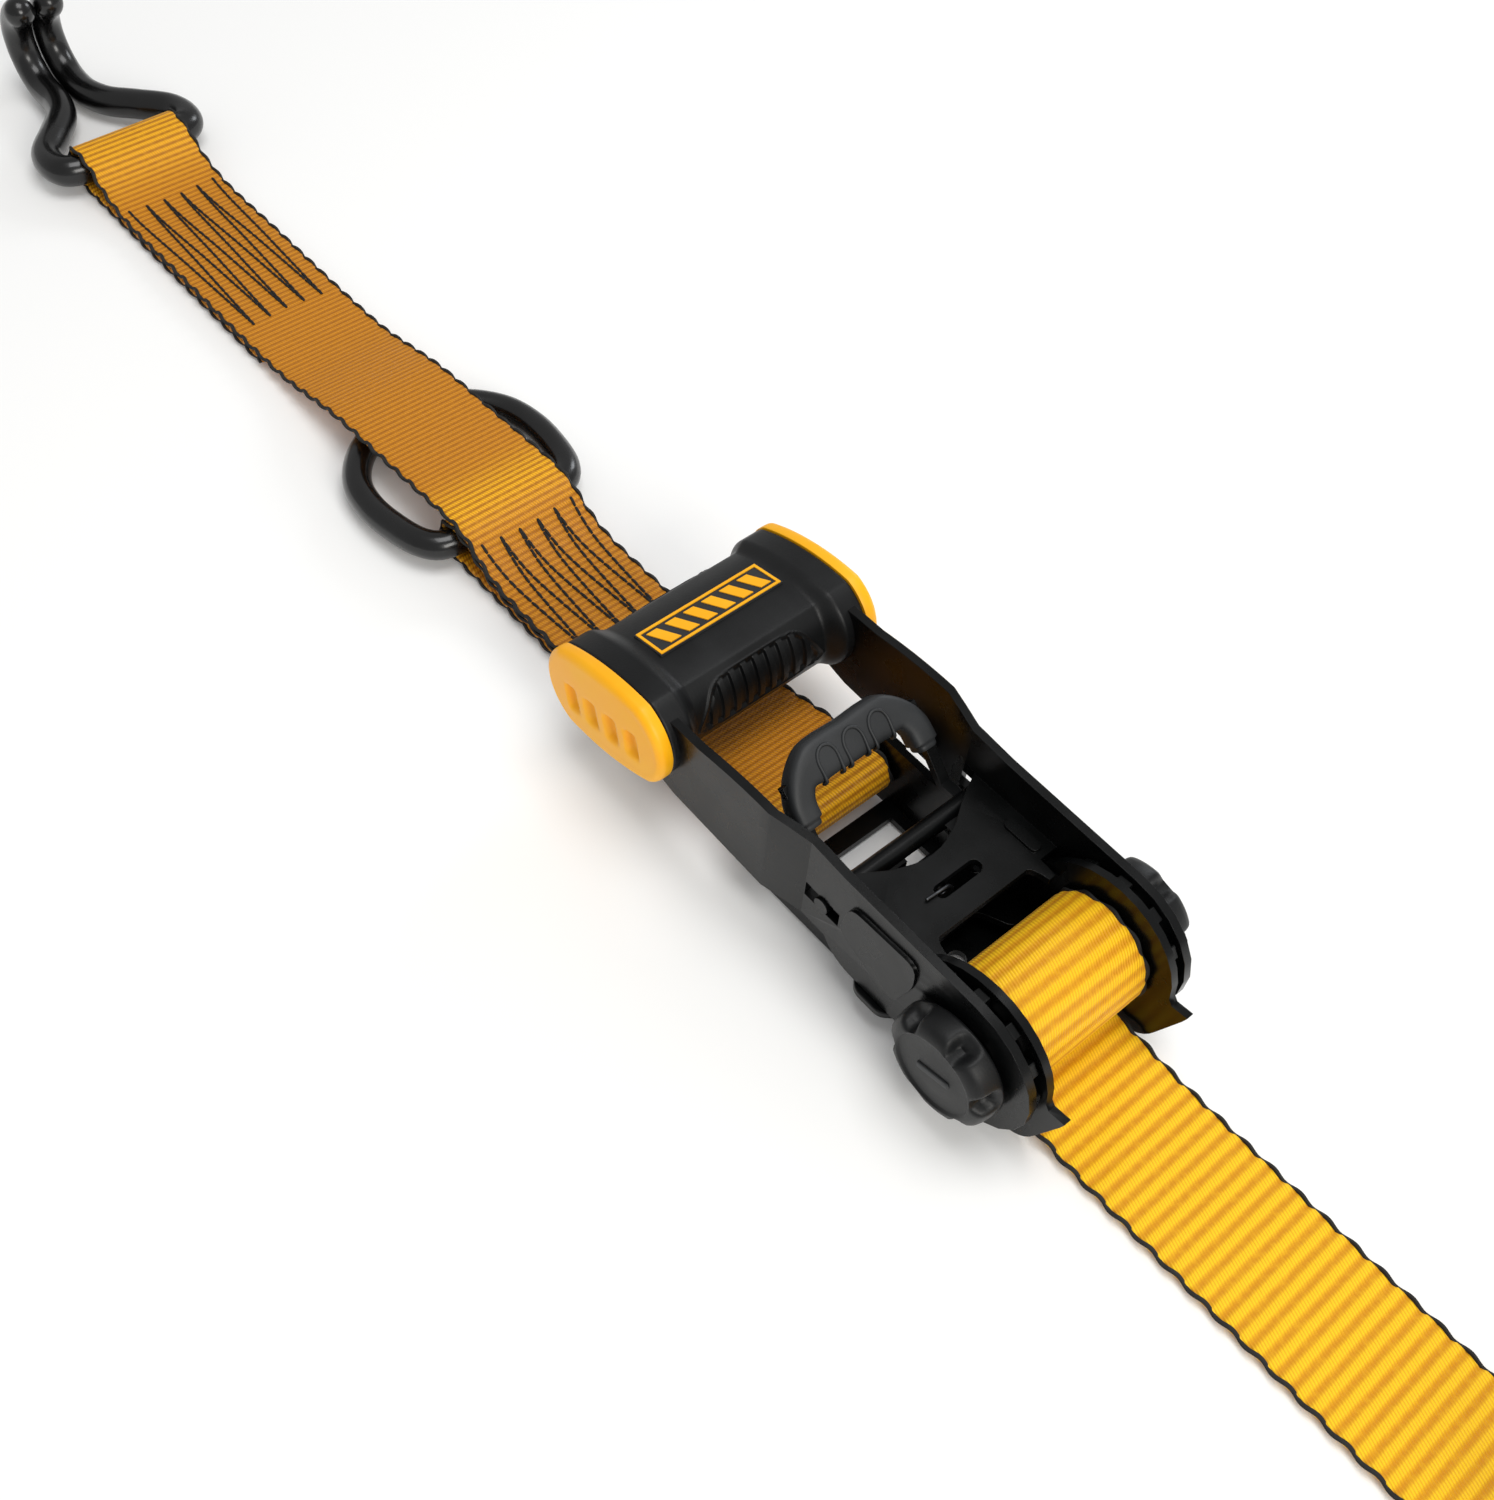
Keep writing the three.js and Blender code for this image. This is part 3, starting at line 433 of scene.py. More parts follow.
def swept(path: np.ndarray, section: np.ndarray, reference: tuple, loop: bool = False,
          taper: float = 0.0) -> np.ndarray:
    """Carries a section along a path: path + u N + v B, where N is the reference made square to the path.

    Args:
        path: (n, 3) points.
        section: (m, 2) offsets along N and B, or (n, m, 2) where they change along the path.
        reference: direction never parallel to the path.
        loop: the path closes on itself.
        taper: length over which each end rounds off as sqrt(1 - (1 - s / taper)^2), metres.
    Returns:
        (n, m, 3) points.
    """
    ahead = np.roll(path, -1, 0) - np.roll(path, 1, 0) if loop else np.gradient(path, axis=0)
    tangent = ahead / np.linalg.norm(ahead, axis=1, keepdims=True)
    up = np.asarray(reference, float)
    normal = up - (tangent @ up)[:, None] * tangent
    normal /= np.linalg.norm(normal, axis=1, keepdims=True)
    side = np.cross(tangent, normal)
    size = np.ones(len(path))
    if taper:
        s = np.concatenate([[0], np.cumsum(np.linalg.norm(np.diff(path, axis=0), axis=1))])
        left = np.clip(np.minimum(s, s[-1] - s) / taper, 0.02, 1)
        size = np.sqrt(1 - (1 - left) ** 2)
    across = np.broadcast_to(section, (len(path), *section.shape[-2:])) * size[:, None, None]
    return path[:, None] + across[..., :1] * normal[:, None] + across[..., 1:] * side[:, None]


def ring_section(radius: float, count: int = 20) -> np.ndarray:
    """Spaces points evenly round a circle.

    Args:
        radius: radius.
        count: how many points.
    Returns:
        (count, 2) points.
    """
    angle = np.linspace(0, 2 * np.pi, count, endpoint=False)
    return radius * np.stack([np.cos(angle), np.sin(angle)], 1)


def box_section(wide: float, tall: float, power: float = 4.0, count: int = 28) -> np.ndarray:
    """Places points on a rounded rectangle, |2 x / wide|^power + |2 y / tall|^power = 1.

    Args:
        wide: full size along x.
        tall: full size along y.
        power: 2 is an ellipse, and higher is squarer.
        count: how many points.
    Returns:
        (count, 2) points.
    """
    angle = np.linspace(0, 2 * np.pi, count, endpoint=False)
    cos, sin = np.cos(angle), np.sin(angle)
    grow = (np.abs(cos) ** power + np.abs(sin) ** power) ** (-1 / power)
    return np.stack([cos * grow * wide / 2, sin * grow * tall / 2], 1)


def rod(name: str, path: np.ndarray, section: np.ndarray, reference: tuple, material: bpy.types.Material,
        loop: bool = False, taper: float = 0.0) -> bpy.types.Object:
    """Makes one swept piece, closed by a fan at each end unless its path is a loop.

    Args:
        name: object name.
        path, section, reference, loop, taper: as swept takes them.
        material: finish.
    Returns:
        the object.
    """
    points = swept(path, section, reference, loop, taper)
    rows, columns = points.shape[:2]
    faces = grid_faces(rows, columns, True, loop=loop)
    return build(name, points.reshape(-1, 3), faces, material, sharp=50.0)


def crisp_copy(node: str, material: bpy.types.Material, width: float = 0.35) -> bpy.types.Object:
    """Copies a CAD solid with its sharp edges rounded, so that they catch the light.

    Args:
        node: CAD node.
        material: finish.
        width: bevel width in millimetres.
    Returns:
        the object, which replaces the node.
    """
    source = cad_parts[node]
    made = bpy.data.objects.new(f"{node}_edged", source.data.copy())
    bpy.context.collection.objects.link(made)
    solid = bmesh.new()
    solid.from_mesh(made.data)
    bmesh.ops.remove_doubles(solid, verts=solid.verts, dist=0.00001)
    bmesh.ops.dissolve_limit(solid, angle_limit=0.02, verts=solid.verts, edges=solid.edges)
    solid.to_mesh(made.data)
    solid.free()
    made.data.polygons.foreach_set("use_smooth", [True] * len(made.data.polygons))
    made.data.set_sharp_from_angle(angle=np.radians(35))
    edge = made.modifiers.new("edge", "BEVEL")
    edge.width = width * MM
    edge.segments = 2
    edge.limit_method = "ANGLE"
    edge.angle_limit = np.radians(38)
    edge.harden_normals = True
    made.data.materials.clear()
    made.data.materials.append(material)
    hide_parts(node)
    return made


def dress(node: str, material: bpy.types.Material) -> None:
    """Gives a CAD node its finish.

    Args:
        node: CAD node.
        material: finish.
    """
    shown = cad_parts[node]
    shown.data.materials.clear()
    shown.data.materials.append(material)


def placed(made: bpy.types.Object, body: str, slot: str, *nodes: str) -> None:
    """Fixes a piece to its body, hides the CAD nodes that it stands for and reports it.

    Args:
        made: the piece.
        body: the CAD body that it rides on.
        slot: not used.
        nodes: CAD nodes that it hides and stands for.
    """
    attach(made, body)
    if nodes:
        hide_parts(*nodes)
    log.info("%s on %s", made.name, body)


def oriented(right: np.ndarray, up: np.ndarray, back: np.ndarray, place: tuple) -> Matrix:
    """Makes the matrix of a lamp or camera.

    Args:
        right, up, back: its unit axes.
        place: its position.
    Returns:
        the 4 x 4 matrix whose columns they are.
    """
    return Matrix([[right[i], up[i], back[i], place[i]] for i in range(3)] + [[0, 0, 0, 1]])


# ---- webbing ----


@dataclass
class Band:
    """A length of webbing along a line in the XZ plane, with real ribs and black selvedge cords."""

    name: str
    line: np.ndarray
    rib: float
    rib_height: float
    thickness: float = 1.7 * MM
    width: float = 38 * MM
    stitch: float = 3.4 * MM

    def frames(self) -> tuple:
        """Returns each station's distance along the line, its tangent and its normal."""
        gap = np.linalg.norm(np.diff(self.line, axis=0), axis=1)
        ahead = np.gradient(self.line, axis=0)
        ahead /= np.linalg.norm(ahead, axis=1, keepdims=True)
        return np.concatenate([[0], np.cumsum(gap)]), ahead, np.stack([-ahead[:, 1], ahead[:, 0]], 1)

    def webbing(self, material: bpy.types.Material, shade: np.ndarray) -> bpy.types.Object:
        """Makes the band.

        The half thickness is t / 2 - h (1 - |sin(pi s / rib)|^0.7), and it rounds off over the last
        millimetre at each edge.

        Args:
            material: webbing finish.
            shade: (n,) painted light at each station, from 0 for the shaded copy of the colour to 1 for the
                lit copy.
        Returns:
            the object.
        """
        s, _, normal = self.frames()
        half = self.width / 2
        y = half * np.array([-1, -0.985, -0.95, -0.8, -0.5, 0, 0.5, 0.8, 0.95, 0.985, 1])
        round_off = np.array([0.25, 0.72, 1, 1, 1, 1, 1, 1, 1, 0.72, 0.25])
        ribs = self.thickness / 2 - self.rib_height * (1 - np.abs(np.sin(np.pi * s / self.rib)) ** 0.7)
        rise = ribs[:, None] * round_off[None, :]
        both = np.concatenate([rise, -rise[:, ::-1]], 1)
        across = np.broadcast_to(np.concatenate([y, y[::-1]]), both.shape)
        x = self.line[:, :1] + both * normal[:, :1]
        z = self.line[:, 1:] + both * normal[:, 1:]
        points = np.stack([x, across, z], -1)
        rows, columns = both.shape
        uv = np.stack([across / MM, np.broadcast_to(s[:, None] / MM, both.shape)], -1).reshape(-1, 2)
        # Painted light at each vertex, copied from its station.
        painted_lighting = np.repeat(shade, columns)
        faces = grid_faces(rows, columns, True)
        return build(self.name, points.reshape(-1, 3), faces, material, uv, painted_lighting, 70)

    def selvedge(self, side: Side, material: bpy.types.Material, period: float,
                 top: int = 1) -> bpy.types.Object:
        """Makes the black cord that waves along one edge.

        With w the width and a = 2 pi s / period, it stands at y = w / 2 - 0.1 mm + 0.35 mm cos(a), and
        0.4 mm (1 + sin(a)) towards the face that shows.

        Args:
            side: which edge.
            material: thread finish.
            period: length of one wave, metres.
            top: 1 where the line's normal points to the face that shows, else -1.
        Returns:
            the object.
        """
        s, _, normal = self.frames()
        lift = top * MM * (0.4 + 0.4 * np.sin(2 * np.pi * s / period))
        out = side.value * (self.width / 2 - 0.1 * MM + 0.35 * MM * np.cos(2 * np.pi * s / period))
        x = self.line[:, 0] + lift * normal[:, 0]
        z = self.line[:, 1] + lift * normal[:, 1]
        name = f"{self.name}_selvedge_{side.label}"
        return rod(name, np.stack([x, out, z], 1), ring_section(0.62 * MM, 6), (0, 1, 0.01), material)

    def stitches(self, name: str, corners: list, material: bpy.types.Material) -> bpy.types.Object:
        """Sews a dashed line of thread over the band.

        Args:
            name: object name.
            corners: the seam's corners, each a distance along the line and y.
            material: thread finish.
        Returns:
            the object, on the face that the normal points away from.
        """
        s, _, normal = self.frames()
        seam = even(np.asarray(corners, float), self.stitch)
        start, stop = seam[:-1], seam[1:]
        steps = np.linspace(0.06, 0.9, 6)[None, :, None]
        spots = start[:, None] + (stop - start)[:, None] * steps
        hump = np.sin(np.pi * np.linspace(0, 1, 6)) ** 0.5
        lift = -(self.thickness / 2 - 0.12 * MM + 0.3 * MM * hump)[None, :]
        at = lambda column: np.interp(spots[..., 0], s, column)
        path = np.stack([at(self.line[:, 0]) + lift * at(normal[:, 0]), spots[..., 1],
                         at(self.line[:, 1]) + lift * at(normal[:, 1])], -1)
        verts, faces = [], []
        for one in path:
            points = swept(one, ring_section(0.44 * MM, 6), (0, 0.02, 1))
            faces += grid_faces(6, 6, True, offset=36 * len(verts))
            verts.append(points.reshape(-1, 3))
        return build(name, np.concatenate(verts), faces, material)


@dataclass
class FixedEnd:
    """The sewn end: one band folded round the bolt, the ring's bar and the hook's crossbar."""

    bolt: tuple = (-35 * MM, 13 * MM)
    ring_bar: tuple = (-174 * MM, 6.7 * MM)
    hook_bar: tuple = (-394 * MM, 7.5 * MM)
    wrap_bolt: float = 5.75 * MM
    wrap_ring: float = 5.65 * MM
    wrap_hook: float = 6.45 * MM

    def line(self) -> np.ndarray:
        """Returns the band's middle line, from its inner end by the ratchet to its end beyond the ring."""
        mm = lambda rows: [[x * MM, z * MM] for x, z in rows]
        points = mm([[-112, 3.15], [-135, 3.1], [-149, 3.2], [-159, 6.3], [-166.5, 10.9]])
        points += arc(*self.ring_bar, self.wrap_ring, 90, 270)
        points += mm([[-140, 1.05], [-96, 1.05], [-78, 1.5], [-60, 3.6], [-45, 6.4]])
        points += arc(*self.bolt, self.wrap_bolt, -90, 90)
        points += mm([[-42, 18], [-56, 14.6], [-76, 9.6], [-96, 6.1], [-112, 5.15], [-150, 5.4], [-159, 8.4],
                      [-167, 13.2], [-174, 14.7], [-182, 14.3], [-205, 12.7], [-234, 10.6], [-248, 7.8],
                      [-264, 4.4], [-282, 3.15], [-330, 3.1], [-366, 3.3], [-379, 7.2], [-386, 12.1]])
        points += arc(*self.hook_bar, self.wrap_hook, 90, 270)
        points += mm([[-380, 1.05], [-330, 1.05], [-280, 1.05]])
        return smooth_path(points, 0.45 * MM)

    def make(self, colours: Palette) -> None:
        """Makes the band, its selvedges and its two seams.

        Args:
            colours: the finishes.
        """
        line = self.line()
        band = Band("sewn_strap", line, 2.05 * MM, 0.16 * MM)
        s = band.frames()[0]
        x = line[:, 0] / MM
        bump = lambda middle, wide: np.exp(-((x - middle) / wide) ** 2)
        # Painted highlight and painted shade: the band takes the lit copy of its colour in bumps at the bolt,
        # the ring's bar and the hook's crossbar, where it bends towards the light, and the shaded copy on the
        # flat runs.
        painted_lighting = 0.12 + 0.8 * bump(-176, 9) + 0.75 * bump(-390, 14) + 0.75 * bump(-31, 9)
        strap = band.webbing(colours.sewn_web, np.clip(painted_lighting, 0, 1))
        placed(strap, "root", "yellow_webbing", "fixed_strap")
        for side in Side:
            placed(band.selvedge(side, colours.thread, 7.4 * MM, -1), "root", "yellow_webbing")
        top = line[:, 0].argmin()
        upper = np.arange(len(line)) < top
        out = upper & (np.arange(len(line)) > np.abs(line[:, 0] + 29 * MM).argmin())
        along = lambda place: float(np.interp(-place, -line[out, 0], s[out]))
        rows = np.linspace(-16 * MM, 16 * MM, 11)
        for name, near, far in (("hook_seam", -368, -293), ("ring_seam", -164, -116)):
            ends = (along(near * MM), along(far * MM))
            corners = [(ends[i % 2], y) for i, y in enumerate(rows)]
            placed(band.stitches(name, corners, colours.thread), "root", "yellow_webbing")
        log.info("fixed end: %.0f mm of webbing, two seams", 1000 * run_length(line))


@dataclass
class MainStrap:
    """The long strap: its turns on the spool, the visible run and the tied hank with its end loop."""

    axle: tuple = AXLE
    spool_radius: float = 15.6 * MM
    core_radius: float = 8.9 * MM
    hank_near: float = 209 * MM
    hank_far: float = 494 * MM
    layers: int = 14
    first: float = 2.75 * MM
    last: float = 33.7 * MM
    free_bar: tuple = (400 * MM, 42.4 * MM)
    wrap: float = 6.45 * MM
    rib: float = 4.05 * MM
    wave: float = 8.1 * MM

    def turns(self) -> np.ndarray:
        """Returns the spool's spiral: the radius grows evenly from the core to the outside."""
        count = 3.25
        angle = np.linspace(0, 2 * np.pi * count, 400)
        radius = self.core_radius + (self.spool_radius - self.core_radius) * angle / angle[-1]
        turn = np.radians(-90) - (angle - angle[-1])
        x, z = self.axle
        return even(np.stack([x + radius * np.cos(turn), z + radius * np.sin(turn)], 1), 0.5 * MM)

    def line(self) -> np.ndarray:
        """Returns the run, the hank's folds and the end loop as one line."""
        x, z = self.axle
        points = [[x - 2 * MM, z - 17.75 * MM], [x + 8 * MM, z - 18.15 * MM], [x + 20 * MM, 3 * MM],
                  [x + 32 * MM, 1.4 * MM], [x + 44 * MM, 1.05 * MM], [x + 120 * MM, 1.05 * MM],
                  [196 * MM, 1.05 * MM], [self.hank_near, 2.2 * MM]]
        levels = np.linspace(self.first, self.last, self.layers)
        step = (levels[1] - levels[0]) / 2
        inner = (self.hank_near + 6 * MM, self.hank_far - 4 * MM)
        for k, level in enumerate(levels):
            ends = inner if k % 2 == 0 else inner[::-1]
            points += [[end, level] for end in np.linspace(*ends, 4)]
            start = -90 if k % 2 == 0 else 270
            points += arc(ends[1], level + step, step, start, 90, 5)[1:-1]
        base = 35.95 * MM
        points += [[inner[0], base], [300 * MM, base], [380 * MM, base], [392 * MM, base]]
        points += arc(*self.free_bar, self.wrap, -90, 90)
        points += [[393.5 * MM, 47.0 * MM], [387 * MM, 41.6 * MM], [376 * MM, 38.3 * MM],
                   [350 * MM, 38.0 * MM], [318 * MM, 38.0 * MM]]
        return np.asarray(points)

    def make(self, colours: Palette) -> None:
        """Makes the spool's turns and the long strap.

        Args:
            colours: the finishes.
        """
        spiral = self.turns()
        wound = Band("wound_strap", spiral, self.rib, 0.2 * MM)
        # Painted shade: the turns on the spool take 15% of the shaded copy of the colour.
        turns = wound.webbing(colours.main_web, np.full(len(spiral), 0.85))
        placed(turns, "mandrel", "yellow_webbing", "wound_web")
        line = smooth_path(self.line(), 0.5 * MM)
        # Past the hank's near end the line is long and straight, so it keeps every fourth station.
        late = np.maximum.accumulate(line[:, 0] > 215 * MM)
        line = np.vstack([line[~late], line[late][::4], line[-1:]])
        strap = Band("main_strap", line, self.rib, 0.38 * MM)
        web = strap.webbing(colours.main_web, np.full(len(line), 1.0))
        placed(web, "root", "yellow_webbing", "strap_run", "strap_hank", "strap_end_loop")
        near = Band("main_strap_edge", line[:int((~late).sum())], self.rib, 0.38 * MM)
        for side in Side:
            placed(near.selvedge(side, colours.thread, self.wave), "root", "yellow_webbing")
            placed(wound.selvedge(side, colours.thread, self.wave), "mandrel", "yellow_webbing")
        log.info("main strap: %.2f m, of which %.2f m on the spool",
                 run_length(line) + run_length(spiral), run_length(spiral))


# ---- ratchet ----


@dataclass
class Knob:
    """A six-lobed end knob with a recessed round face."""

    side: Side
    axle: tuple = AXLE
    inner: float = 29.5 * MM
    outer: float = 37.4 * MM
    turn: float = -15.0
    well: float = 3.6 * MM
    face: float = 11.9 * MM

    def make(self, colours: Palette) -> None:
        """Makes the knob, and a plain raised bar on its face.

        Rings, each a radius, a share of the knob's depth and a share of the well's, run from the back
        over the rim and in to the recessed face. The radius at angle a is R - well exp(-(b / 10)^4), where
        b is how many degrees a is from the nearest of six wells, and it never drops below the face's.

        Args:
            colours: the finishes.
        """
        angle = np.linspace(0, 2 * np.pi, 144, endpoint=False)
        near = np.abs((np.degrees(angle) + 30 + self.turn) % 60 - 30)
        bump = np.exp(-(near / 10.0) ** 4)
        rings = np.array([
            (8.3, 0.0, 0), (15.0, 0.0, 0), (15.6, 0.05, 0), (15.6, 0.12, 0), (15.6, 0.25, 0.3),
            (15.5, 0.4, 1), (15.3, 0.62, 1), (14.9, 0.78, 1), (14.2, 0.89, 1), (13.2, 0.96, 0.9),
            (12.3, 1.0, 0.6), (11.7, 1.0, 0.1), (11.45, 0.99, 0), (11.2, 0.93, 0), (10.9, 0.92, 0),
            (6, 0.93, 0), (0.2, 0.93, 0)])
        radius = rings[:, :1] * MM
        level = self.inner + (self.outer - self.inner) * rings[:, 1:2]
        depth = np.minimum(rings[:, 2:] * self.well, np.maximum(radius - self.face, 0))
        reach = radius - depth * bump[None, :]
        x, z = self.axle
        y = self.side.value * np.broadcast_to(level, reach.shape)
        points = np.stack([x + reach * np.cos(angle), y, z + reach * np.sin(angle)], -1)
        name = f"knob_cap_{self.side.label}"
        made = build(name, points.reshape(-1, 3), grid_faces(*reach.shape, True), colours.nylon, sharp=60)
        placed(made, "mandrel", "moulded_black_plastic", f"knob_{self.side.label}")
        along = np.linspace(-5.6, 5.6, 24) * MM
        line = np.stack([x + 0.9 * along, np.full(24, self.side.value * (self.outer - 0.45 * MM)),
                         z + 0.25 * along], 1)
        bar = rod(f"knob_bar_{self.side.label}", line, box_section(0.9 * MM, 2.0 * MM), (0, 1, 0),
                  colours.rubber, taper=0.6 * MM)
        placed(bar, "mandrel", "moulded_black_plastic")


@dataclass
class Grip:
    """The moulded grip: a waisted barrel with ribbed panels, flared flanges, a badge and yellow caps."""

    back: tuple = (-89 * MM, 31 * MM)
    front: tuple = (-71 * MM, 35 * MM)
    waist: float = 12.7 * MM
    flare: float = 14.3 * MM
    half: float = 33.0 * MM
    rib_pitch: float = 4.0 * MM
    rib_rise: float = 1.0 * MM
    dent: float = 2.2 * MM

    def axes(self) -> tuple:
        """Returns the section's middle, its direction to the front and its upward normal, in XZ."""
        back, front = np.array(self.back), np.array(self.front)
        along = (front - back) / np.linalg.norm(front - back)
        return (back + front) / 2, along, np.array([-along[1], along[0]])

    def outline(self, radius: np.ndarray, count: int) -> np.ndarray:
        """Stadium outlines: a segment between two centres grown by each radius.

        Args:
            radius: (n, count) radius at each station and angle.
            count: vertices in an outline.
        Returns:
            (n, count, 2) X and Z.
        """
        back, front = np.array(self.back), np.array(self.front)
        tilt = np.arctan2(*(front - back)[::-1])
        angle = np.linspace(0, 2 * np.pi, count, endpoint=False)
        slide = np.clip(1.9 * np.cos(angle), -1, 1)[:, None]
        centre = (back + front) / 2 + slide * (front - back) / 2
        turn = angle + tilt
        out = np.stack([np.cos(turn), np.sin(turn)], -1)
        return centre[None] + radius[..., None] * out[None]

    def make(self, colours: Palette) -> None:
        """Makes the barrel, then its caps and badge.

        The radius is the waist near the middle and eases to the flare from |y| = 21.5 to 26.5 mm. Ribs
        stand up as 2.2 cos(2 pi y / pitch) + 0.3, kept between 0 and 1, on the front and rear panels,
        inside a tapered border.

        Args:
            colours: the finishes.
        """
        y = np.linspace(-self.half, self.half, 331)
        count = 200
        angle = np.linspace(0, 2 * np.pi, count, endpoint=False)
        ease = np.clip((np.abs(y) - 21.5 * MM) / (5.0 * MM), 0, 1)
        ease = ease * ease * (3 - 2 * ease)
        rim = np.clip((self.half - np.abs(y)) / (0.8 * MM), 0, 1)
        base = self.waist + (self.flare - self.waist) * ease - 0.5 * MM * (1 - rim) ** 2
        slim = 2.6 * MM * np.clip(np.cos(angle), 0, 1) ** 1.5
        slim += 1.2 * MM * np.clip(-np.cos(angle), 0, 1) ** 1.5
        base = base[:, None] - (slim - 0.5 * MM * np.abs(np.sin(angle)) ** 8)[None] * (1 - ease[:, None])
        for middle, upward in ((8, 1), (172, -1)):
            off = (np.degrees(angle)[None] - middle + 180) % 360 - 180
            reach = (17.4 - 3.4 * np.clip(upward * off / 34, -1, 1)) * MM
            inside = np.hypot((np.abs(y)[:, None] / reach) ** 3, (off / 36) ** 3)
            panel = np.clip((1 - inside) / 0.15, 0, 1)
            ribs = np.clip(np.cos(2 * np.pi * y / self.rib_pitch) * 2.2 + 0.3, 0, 1)[:, None]
            border = np.exp(-((inside - 1.22) / 0.09) ** 2)
            base += panel * (self.rib_rise * ribs - 0.75 * MM) + 0.4 * MM * border
        ring = self.outline(base, count)
        points = np.stack([ring[..., 0], np.broadcast_to(y[:, None], base.shape), ring[..., 1]], -1)
        faces = grid_faces(len(y), count, True)
        barrel = build("grip_barrel", points.reshape(-1, 3), faces, colours.nylon, sharp=60)
        placed(barrel, "handle", "moulded_black_plastic", "grip")
        for side in Side:
            self.make_cap(side, colours)
        self.make_badge(colours)
        log.info("grip: barrel, two caps and a badge")

    def make_cap(self, side: Side, colours: Palette) -> None:
        """Makes one yellow cap.

        Stadium rings run from the flange over a rounded edge to the middle of the face, which is sunk by
        four upright dents. A dent's depth is dent exp(-(u / 2.1 mm)^6 - (v / 4 mm)^6), where u and v are
        measured from its middle, which is 1.5 mm below the face's.

        Args:
            side: which end of the grip.
            colours: the finishes.
        """
        count = 160
        steps = np.linspace(0, 1, 10)
        rim = steps * np.pi / 2
        edge_r = np.concatenate([[14.5, 14.6], 14.6 - 2.2 * (1 - np.cos(rim)), np.linspace(12.2, 0.15, 26)])
        edge_y = np.concatenate([[33.2, 33.4], 35.3 + 2.1 * np.sin(rim), np.full(26, 37.4)])
        radius = edge_r[:, None] * MM + np.zeros((1, count))
        ring = self.outline(radius, count)
        middle, along, up = self.axes()
        u, v = (ring - middle) @ along, (ring - middle) @ up
        crown = 0.6 * MM * (1 - np.clip((u / (21 * MM)) ** 2 + (v / (14 * MM)) ** 2, 0, 1))
        dents = sum(np.exp(-((u - at) / (2.1 * MM)) ** 6 - ((v + 1.5 * MM) / (4.0 * MM)) ** 6)
                    for at in np.array([-12.3, -4.1, 4.1, 12.3]) * MM)
        face = (edge_r < 13.4)[:, None]
        y = side.value * (edge_y[:, None] * MM + np.where(face, crown - self.dent * dents, 0))
        points = np.stack([ring[..., 0], y, ring[..., 1]], -1)
        faces = grid_faces(len(edge_r), count, True, caps=False)
        faces += [[0, i + 1, i] for i in range(1, count - 1)] + zipped(count, (len(edge_r) - 1) * count)
        cap = build(f"grip_end_{side.label}", points.reshape(-1, 3), faces, colours.yellow, sharp=60)
        placed(cap, "handle", "moulded_yellow_plastic", f"grip_cap_{side.label}")

    def make_badge(self, colours: Palette) -> None:
        """Makes the badge: a black plate with a yellow frame and slanted yellow bars, a generic pattern.

        Args:
            colours: the finishes.
        """
        def oblong(low: float, high: float, left: float, right: float) -> list:
            """Returns an oblong's corners, from low to high along and left to right across."""
            return [(low, left), (high, left), (high, right), (low, right)]

        edges = [oblong(-5.3, -4.5, -20, 20), oblong(4.5, 5.3, -20, 20),
                 oblong(-4.5, 4.5, -20, -19.2), oblong(-4.5, 4.5, 19.2, 20)]
        bars = [[(-3.4, y), (3.4, y + 2.6), (3.4, y + 6.0), (-3.4, y + 3.4)]
                for y in np.linspace(-18, 12.2, 6)]
        plate = self.slab("badge_plate", oblong(-5.6, 5.6, -20.4, 20.4), -0.5, 0.12, colours.rubber)
        placed(plate, "handle", "moulded_yellow_plastic", "badge")
        for index, corners in enumerate(edges + bars):
            bar = self.slab(f"badge_bar_{index}", corners, 0.0, 0.38, colours.yellow)
            placed(bar, "handle", "moulded_yellow_plastic")

    def slab(self, name: str, corners: list, low: float, high: float,
             material: bpy.types.Material) -> bpy.types.Object:
        """Makes a prism on the grip's flat top.

        Args:
            name: object name.
            corners: (along, y) corners in millimetres.
            low: its underside above the top, millimetres.
            high: its upper face above the top, millimetres.
            material: finish.
        Returns:
            the object.
        """
        middle, along, up = self.axes()
        flat = np.asarray(corners, float) * MM
        ring = middle[None] + flat[:, :1] * along[None] + (self.waist + 0.5 * MM) * up[None]
        layers = [np.stack([ring[:, 0] + h * up[0], flat[:, 1], ring[:, 1] + h * up[1]], 1)
                  for h in (low * MM, high * MM)]
        return build(name, np.concatenate(layers), grid_faces(2, len(flat), True), material)


